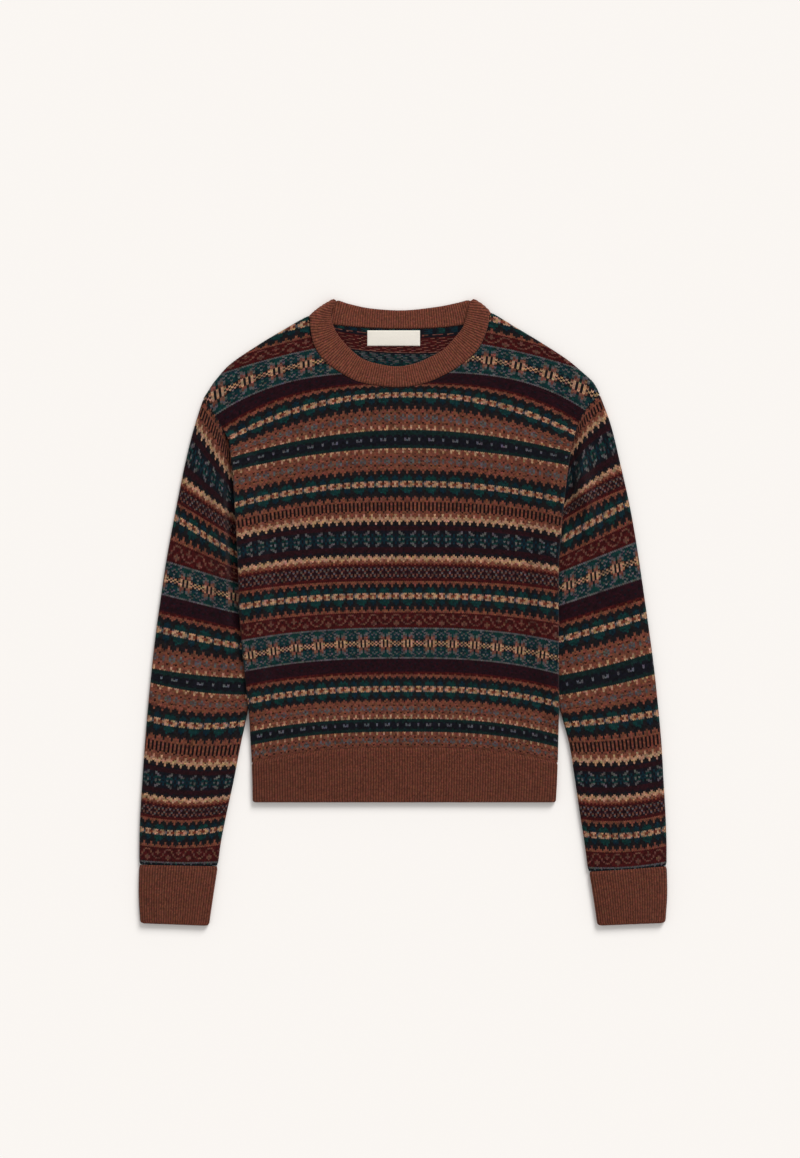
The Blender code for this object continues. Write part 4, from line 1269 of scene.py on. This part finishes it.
class Nodes:
    """Short calls that add a material's nodes and join them up."""

    def __init__(self, name):
        self.material = bpy.data.materials.new(name)
        self.material.use_nodes = True
        self.tree = self.material.node_tree
        self.shader = self.tree.nodes["Principled BSDF"]
        stitch = self.add("SeparateXYZ", {0: self.add("UVMap", uv_map="stitch").outputs[0]})
        self.across, self.down = stitch.outputs[0], stitch.outputs[1]
        self.place = self.add("TexCoord").outputs["Object"]
        self.yarn = self.add("Attribute", attribute_name="yarn").outputs["Color"]

    def add(self, kind, inputs=(), **values):
        node = self.tree.nodes.new("ShaderNode" + kind)
        for name, value in values.items():
            setattr(node, name, value)
        for slot, value in dict(inputs).items():
            self.put(node.inputs[slot], value)
        return node

    def put(self, socket, value):
        if isinstance(value, bpy.types.NodeSocket):
            self.tree.links.new(value, socket)
        else:
            socket.default_value = value

    def maths(self, operation, first, second=0.0):
        return self.add("Math", {0: first, 1: second}, operation=operation).outputs[0]

    def product(self, first, *others):
        """The values multiplied together."""
        for other in others:
            first = self.maths("MULTIPLY", first, other)
        return first

    def humps(self, wave, place, factor):
        """Humps from 0 to 1 along a place: the size of its sine or cosine."""
        return self.maths("ABSOLUTE", self.maths(wave, self.product(place, factor)))

    def between(self, value, low, high):
        """The value, from 0 to 1, turned to one from low to high."""
        return self.add("MapRange", {0: value, 3: low, 4: high}).outputs[0]

    def around(self, value, contrast):
        """The value, from 0 to 1, turned to a factor that far to either side of 1."""
        return self.between(value, 1.0 - contrast, 1.0 + contrast)

    def noise(self, size, detail, roughness):
        """Noise from 0 to 1 whose patches are about this size."""
        inputs = {
            "Vector": self.place, "Scale": 1.0 / size, "Detail": detail, "Roughness": roughness}
        return self.add("TexNoise", inputs).outputs["Fac"]

    def finish(self, painted_shade_and_tone, height, depth, **values):
        """Joins the yarn, scaled by painted shade and its own uneven tone, and its relief to the
        shader, and sets its other values.
        """
        colour = self.add("VectorMath", {0: self.yarn, "Scale": painted_shade_and_tone}, operation="SCALE")
        bump = self.add("Bump", {"Height": height, "Distance": depth, "Strength": 1.0})
        self.put(self.shader.inputs["Base Color"], colour.outputs[0])
        self.put(self.shader.inputs["Normal"], bump.outputs[0])
        for name, value in values.items():
            self.put(self.shader.inputs[name.replace("_", " ")], value)
        return self.material

    def brushed(self, painted_shade_and_tone, puff, fibres):
        """Finishes as brushed wool, with the relief of its stitches and its fibres."""
        relief = self.maths("ADD", puff, self.product(fibres, FIBRE_RELIEF))
        return self.finish(
            painted_shade_and_tone, relief, LEG_PUFF, Roughness=self.between(fibres, *WOOL_ROUGHNESS), **WOOL)


def knit_finish(name):
    """Brushed wool in stitches: two slanted legs a stitch, painted shade between them, with fibres.
    """
    wool = Nodes(name)
    leg = wool.maths("POWER", wool.humps("SINE", wool.across, 2 * math.pi), LEG_POWER)
    course = wool.maths("POWER", wool.humps("SINE", wool.down, math.pi), COURSE_POWER)
    puff = wool.product(leg, course)
    fibres = wool.noise(*FIBRES)
    # Painted shade in the gaps between the legs and courses, times the fibres' and flecks' own
    # light and dark.
    painted_shade_and_tone = wool.product(
        wool.between(puff, yarns().painted_gap_shade, 1.0), wool.around(fibres, yarns().fibre_contrast),
        wool.around(wool.noise(*FLECKS), FLECK_CONTRAST))
    return wool.brushed(painted_shade_and_tone, puff, fibres)


def rib_finish(name):
    """The brown heathered wool of the ribs, with painted shade in the grooves and between the
    stitches.
    """
    wool = Nodes(name)
    crest = wool.humps("SINE", wool.across, math.pi)
    leg = wool.maths("POWER", wool.humps("COSINE", wool.across, math.pi), LEG_POWER)
    course = wool.maths("POWER", wool.humps("SINE", wool.down, math.pi), COURSE_POWER)
    puff = wool.product(course, wool.between(leg, RIB_LEG_LOW, 1.0))
    fibres = wool.noise(*FIBRES)
    # Painted shade in the grooves and between the stitches, times the fibres' and heather's own
    # light and dark.
    painted_shade_and_tone = wool.product(
        wool.between(crest, yarns().painted_groove_shade, 1.0), wool.between(puff, RIB_PAINTED_GAP_SHADE, 1.0),
        wool.around(fibres, RIB_FIBRE_CONTRAST),
        wool.around(wool.noise(*HEATHER), HEATHER_CONTRAST))
    return wool.brushed(painted_shade_and_tone, puff, fibres)


def label_finish(name):
    """Smooth cream tape, woven in fine threads, with painted shade where the weave sinks."""
    tape = Nodes(name)
    warp = tape.maths("SINE", tape.product(tape.across, 2 * math.pi))
    weft = tape.maths("SINE", tape.product(tape.down, 2 * math.pi))
    weave = tape.maths("ADD", tape.product(warp, weft, 0.5), 0.5)
    slubs = tape.noise(*SLUBS)
    # Painted shade where the weave sinks, times the uneven threads.
    painted_shade_and_tone = tape.product(tape.between(weave, WEAVE_PAINTED_SHADE, 1.0), tape.between(slubs, *SLUB_SHADE))
    return tape.finish(
        painted_shade_and_tone, weave, WEAVE_PUFF, Roughness=tape.between(slubs, *TAPE_ROUGHNESS), **TAPE)


FINISHES = {"patterned_knit": knit_finish, "brown_rib": rib_finish, "woven_label": label_finish}


def finish(slot):
    """The finish of one of the frame's slots, made once."""
    name = slot + "_yarn"
    return bpy.data.materials.get(name) or FINISHES[slot](name)


def knit(node, slot, sheets):
    """Makes a piece in its finish, hangs it on the root body, and hides the solid of the node it
    stands for.
    """
    name = node + ("_tape" if slot == "woven_label" else "_knit")
    piece = add_piece(name, sheets, finish(slot))
    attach(piece, "root")
    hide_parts(node)


# ---------------------------------------------------------------- sizes and colours to change

def dye(name, description, *rgb):
    """A yarn colour property, whose default is given as the eight-bit values of a display."""
    linear = [pow((value / 255 + 0.055) / 1.055, 2.4) for value in rgb]
    return FloatVectorProperty(
        name=name, description=description, default=linear, min=0.0, max=1.0, size=3,
        subtype="COLOR")


def amount(name, description, default, most):
    """A plain number property, from 0 to its most."""
    return FloatProperty(
        name=name, description=description, default=default, min=0.0, max=most, subtype="FACTOR")


class JumperYarns(PropertyGroup):
    """Colours of the yarns, how uneven they are, and the painted shade and painted light put on
    them.
    """

    sand: dye("Sand", "Light teeth and chain links", 168, 127, 99)
    brown: dye("Brown", "Diamonds and teeth", 112, 63, 48)
    rust: dye("Rust", "Middle of the chain links", 104, 53, 38)
    black: dye("Black", "Dots in the diamonds and bars", 22, 8, 9)
    navy: dye("Navy", "Dark ground of the snow and dash bands", 16, 16, 24)
    plum: dye("Plum", "Plain plum band", 34, 8, 17)
    maroon: dye("Maroon", "Ground of the flower band", 62, 13, 13)
    wine: dye("Wine", "Dark ground of the lattice band", 36, 11, 17)
    grey: dye("Grey", "Fine lines, rosettes and snow", 82, 79, 80)
    mauve: dye("Mauve", "Flowers, lattice and hearts of the diamonds", 98, 60, 50)
    teal: dye("Teal", "Green-blue of rosettes and snow", 11, 47, 46)
    blue: dye("Blue", "Blue of rosettes and snow", 9, 35, 44)
    forest: dye("Forest", "Darkest green", 15, 34, 33)
    raven: dye("Raven", "Ground between the bands", 24, 20, 22)
    rose: dye("Rose", "Pink marks of the flower and rosette bands", 114, 70, 59)
    pearl: dye("Pearl", "Pale dashes", 84, 85, 92)
    rib_brown: dye("Rib brown", "Brown of the hem, cuffs and neckband", 105, 58, 44)
    label_cream: dye("Label cream", "The bare label", 236, 229, 217)
    stitch_variation: amount(
        "Uneven stitches", "How much the stitches differ in brightness", 0.24, 0.5)
    hue_variation: amount("Uneven hue", "How much the stitches differ in hue", 0.09, 0.5)
    rib_variation: amount(
        "Uneven ribs", "How uneven the ribs are against the patterned knit", 0.65, 1.0)
    course_variation: amount(
        "Uneven courses", "How much the courses differ in brightness", 0.03, 0.5)
    fibre_contrast: amount("Fibre contrast", "Light and dark of the single fibres", 0.40, 1.0)
    # Painted shade in the gaps between the stitch legs, where the knit sinks.
    painted_gap_shade: amount(
        "Shade between stitches", "Brightness of the gaps between the stitch legs", 0.45, 1.0)
    # Painted shade in the grooves between the ribs.
    painted_groove_shade: amount(
        "Shade in the ribs", "Brightness of the grooves between the ribs", 0.30, 1.0)
    # Painted light: the neckband is drawn this much lighter than the hem and cuffs, though it is
    # the same yarn.
    neckband_painted_light: amount(
        "Neckband tone", "Brightness of the neckband against the other ribs", 1.35, 3.0)


class JumperStage(PropertyGroup):
    """Floor, light and camera."""

    floor_size: FloatProperty(
        name="Floor", description="Width of the floor", default=8.0, min=2.0, subtype="DISTANCE")
    floor_colour: dye("Floor colour", "Colour of the floor", 244, 240, 236)
    sun_strength: FloatProperty(
        name="Sun", description="Strength of the main light", default=2.67, min=0.0)
    sun_softness: FloatProperty(
        name="Softness", description="Width of the main light in the sky",
        default=math.radians(28.0), min=0.0, max=math.pi, subtype="ANGLE")
    sky_strength: FloatProperty(
        name="Sky", description="Strength of the light from all sides", default=0.616, min=0.0)
    view_height: FloatProperty(
        name="Camera height", description="Height of the camera over the floor",
        default=3.0126, min=0.5, subtype="DISTANCE")


# ---------------------------------------------------------------- stage

def add_floor(stage):
    """A plain pale floor under the jumper."""
    half = stage.floor_size / 2
    mesh = bpy.data.meshes.new("floor")
    mesh.from_pydata([(-half, -half, 0), (half, -half, 0), (half, half, 0), (-half, half, 0)], [],
                     [(0, 1, 2, 3)])
    floor = bpy.data.objects.new("floor", mesh)
    floor.location.z = -FLOOR_GAP
    bpy.context.collection.objects.link(floor)
    material = bpy.data.materials.new("pale_floor")
    material.use_nodes = True
    shader = material.node_tree.nodes["Principled BSDF"]
    shader.inputs["Base Color"].default_value = (*stage.floor_colour, 1.0)
    shader.inputs["Roughness"].default_value = FLOOR_ROUGHNESS
    shader.inputs["Specular IOR Level"].default_value = 0.0
    mesh.materials.append(material)


def add_light(stage):
    """Wide soft sun from beyond the neck, and an even pale sky."""
    light = bpy.data.lights.new("sun", "SUN")
    light.energy = stage.sun_strength
    light.angle = stage.sun_softness
    sun = bpy.data.objects.new("sun", light)
    sun.rotation_euler = Vector(SUN_FROM).to_track_quat("Z", "Y").to_euler()
    bpy.context.collection.objects.link(sun)
    world = bpy.data.worlds.new("pale_sky")
    world.use_nodes = True
    sky = world.node_tree.nodes["Background"]
    sky.inputs["Color"].default_value = (1.0, 1.0, 1.0, 1.0)
    sky.inputs["Strength"].default_value = stage.sky_strength
    bpy.context.scene.world = world


def add_camera(stage):
    """Camera straight above the jumper."""
    lens = bpy.data.cameras.new("camera")
    lens.lens = LENS
    lens.sensor_width = SENSOR
    camera = bpy.data.objects.new("camera", lens)
    camera.location = (*VIEW_CENTRE, stage.view_height)
    bpy.context.collection.objects.link(camera)
    bpy.context.scene.camera = camera


# ---------------------------------------------------------------- operators

class JUMPER_OT_front(Operator):
    """Knit the front panel"""

    bl_idname = "jumper.front"
    bl_label = "Front panel"

    def execute(self, context):
        knit("front", "patterned_knit", [body_panel("front")])
        return {"FINISHED"}


class JUMPER_OT_back(Operator):
    """Knit the back panel and the inner face that the neck shows"""

    bl_idname = "jumper.back"
    bl_label = "Back panel"

    def execute(self, context):
        knit("back", "patterned_knit", [body_panel("back"), neck_patch()])
        return {"FINISHED"}


class JUMPER_OT_sleeves(Operator):
    """Knit the two sleeves, each a flattened tube"""

    bl_idname = "jumper.sleeves"
    bl_label = "Sleeves"

    def execute(self, context):
        for side in ("left", "right"):
            knit("sleeve_" + side, "patterned_knit", [sleeve(side)])
        return {"FINISHED"}


class JUMPER_OT_hem(Operator):
    """Knit the two halves of the hem's rib"""

    bl_idname = "jumper.hem"
    bl_label = "Hem rib"

    def execute(self, context):
        for half, below in (("back", ()), ("front", ["hem_rib_back"])):
            knit("hem_rib_" + half, "brown_rib", [hem_rib(half)])
        return {"FINISHED"}


class JUMPER_OT_cuffs(Operator):
    """Knit the two cuffs"""

    bl_idname = "jumper.cuffs"
    bl_label = "Cuffs"

    def execute(self, context):
        for side in ("left", "right"):
            knit("cuff_" + side, "brown_rib", [cuff(side)])
        return {"FINISHED"}


class JUMPER_OT_neckband(Operator):
    """Knit the neckband"""

    bl_idname = "jumper.neckband"
    bl_label = "Neckband"

    def execute(self, context):
        knit("neckband", "brown_rib", [neckband()])
        return {"FINISHED"}


class JUMPER_OT_label(Operator):
    """Sew in the bare label"""

    bl_idname = "jumper.label"
    bl_label = "Label"

    def execute(self, context):
        knit("neck_label", "woven_label", [label()])
        return {"FINISHED"}


class JUMPER_OT_stage(Operator):
    """Set up the floor, the light and the camera"""

    bl_idname = "jumper.stage"
    bl_label = "Stage"

    def execute(self, context):
        stage = context.scene.jumper_stage
        add_floor(stage)
        add_light(stage)
        add_camera(stage)
        context.scene.view_settings.view_transform = "Standard"
        return {"FINISHED"}


class JUMPER_PT_panel(Panel):
    """Sidebar panel with the jumper's pieces, its yarns and its stage"""

    bl_idname = "JUMPER_PT_panel"
    bl_label = "Fair Isle Jumper"
    bl_space_type = "VIEW_3D"
    bl_region_type = "UI"
    bl_category = "Jumper"

    def draw(self, context):
        for operator in OPERATORS:
            self.layout.operator(operator.bl_idname)
        for group, owner in (
            (JumperYarns, context.scene.jumper_yarns),
            (JumperStage, context.scene.jumper_stage),
        ):
            box = self.layout.box()
            for name in group.__annotations__:
                box.prop(owner, name)


OPERATORS = (
    JUMPER_OT_stage,
    JUMPER_OT_back,
    JUMPER_OT_front,
    JUMPER_OT_sleeves,
    JUMPER_OT_hem,
    JUMPER_OT_cuffs,
    JUMPER_OT_neckband,
    JUMPER_OT_label,
)
CLASSES = (JumperYarns, JumperStage, *OPERATORS, JUMPER_PT_panel)


def register():
    for item in CLASSES:
        bpy.utils.register_class(item)
    bpy.types.Scene.jumper_yarns = PointerProperty(type=JumperYarns)
    bpy.types.Scene.jumper_stage = PointerProperty(type=JumperStage)


def unregister():
    del bpy.types.Scene.jumper_stage
    del bpy.types.Scene.jumper_yarns
    for item in reversed(CLASSES):
        bpy.utils.unregister_class(item)


def main():
    register()
    bpy.ops.jumper.stage()
    bpy.ops.jumper.back()
    bpy.ops.jumper.front()
    bpy.ops.jumper.sleeves()
    bpy.ops.jumper.hem()
    bpy.ops.jumper.cuffs()
    bpy.ops.jumper.neckband()
    bpy.ops.jumper.label()


if __name__ == "__main__":
    main()
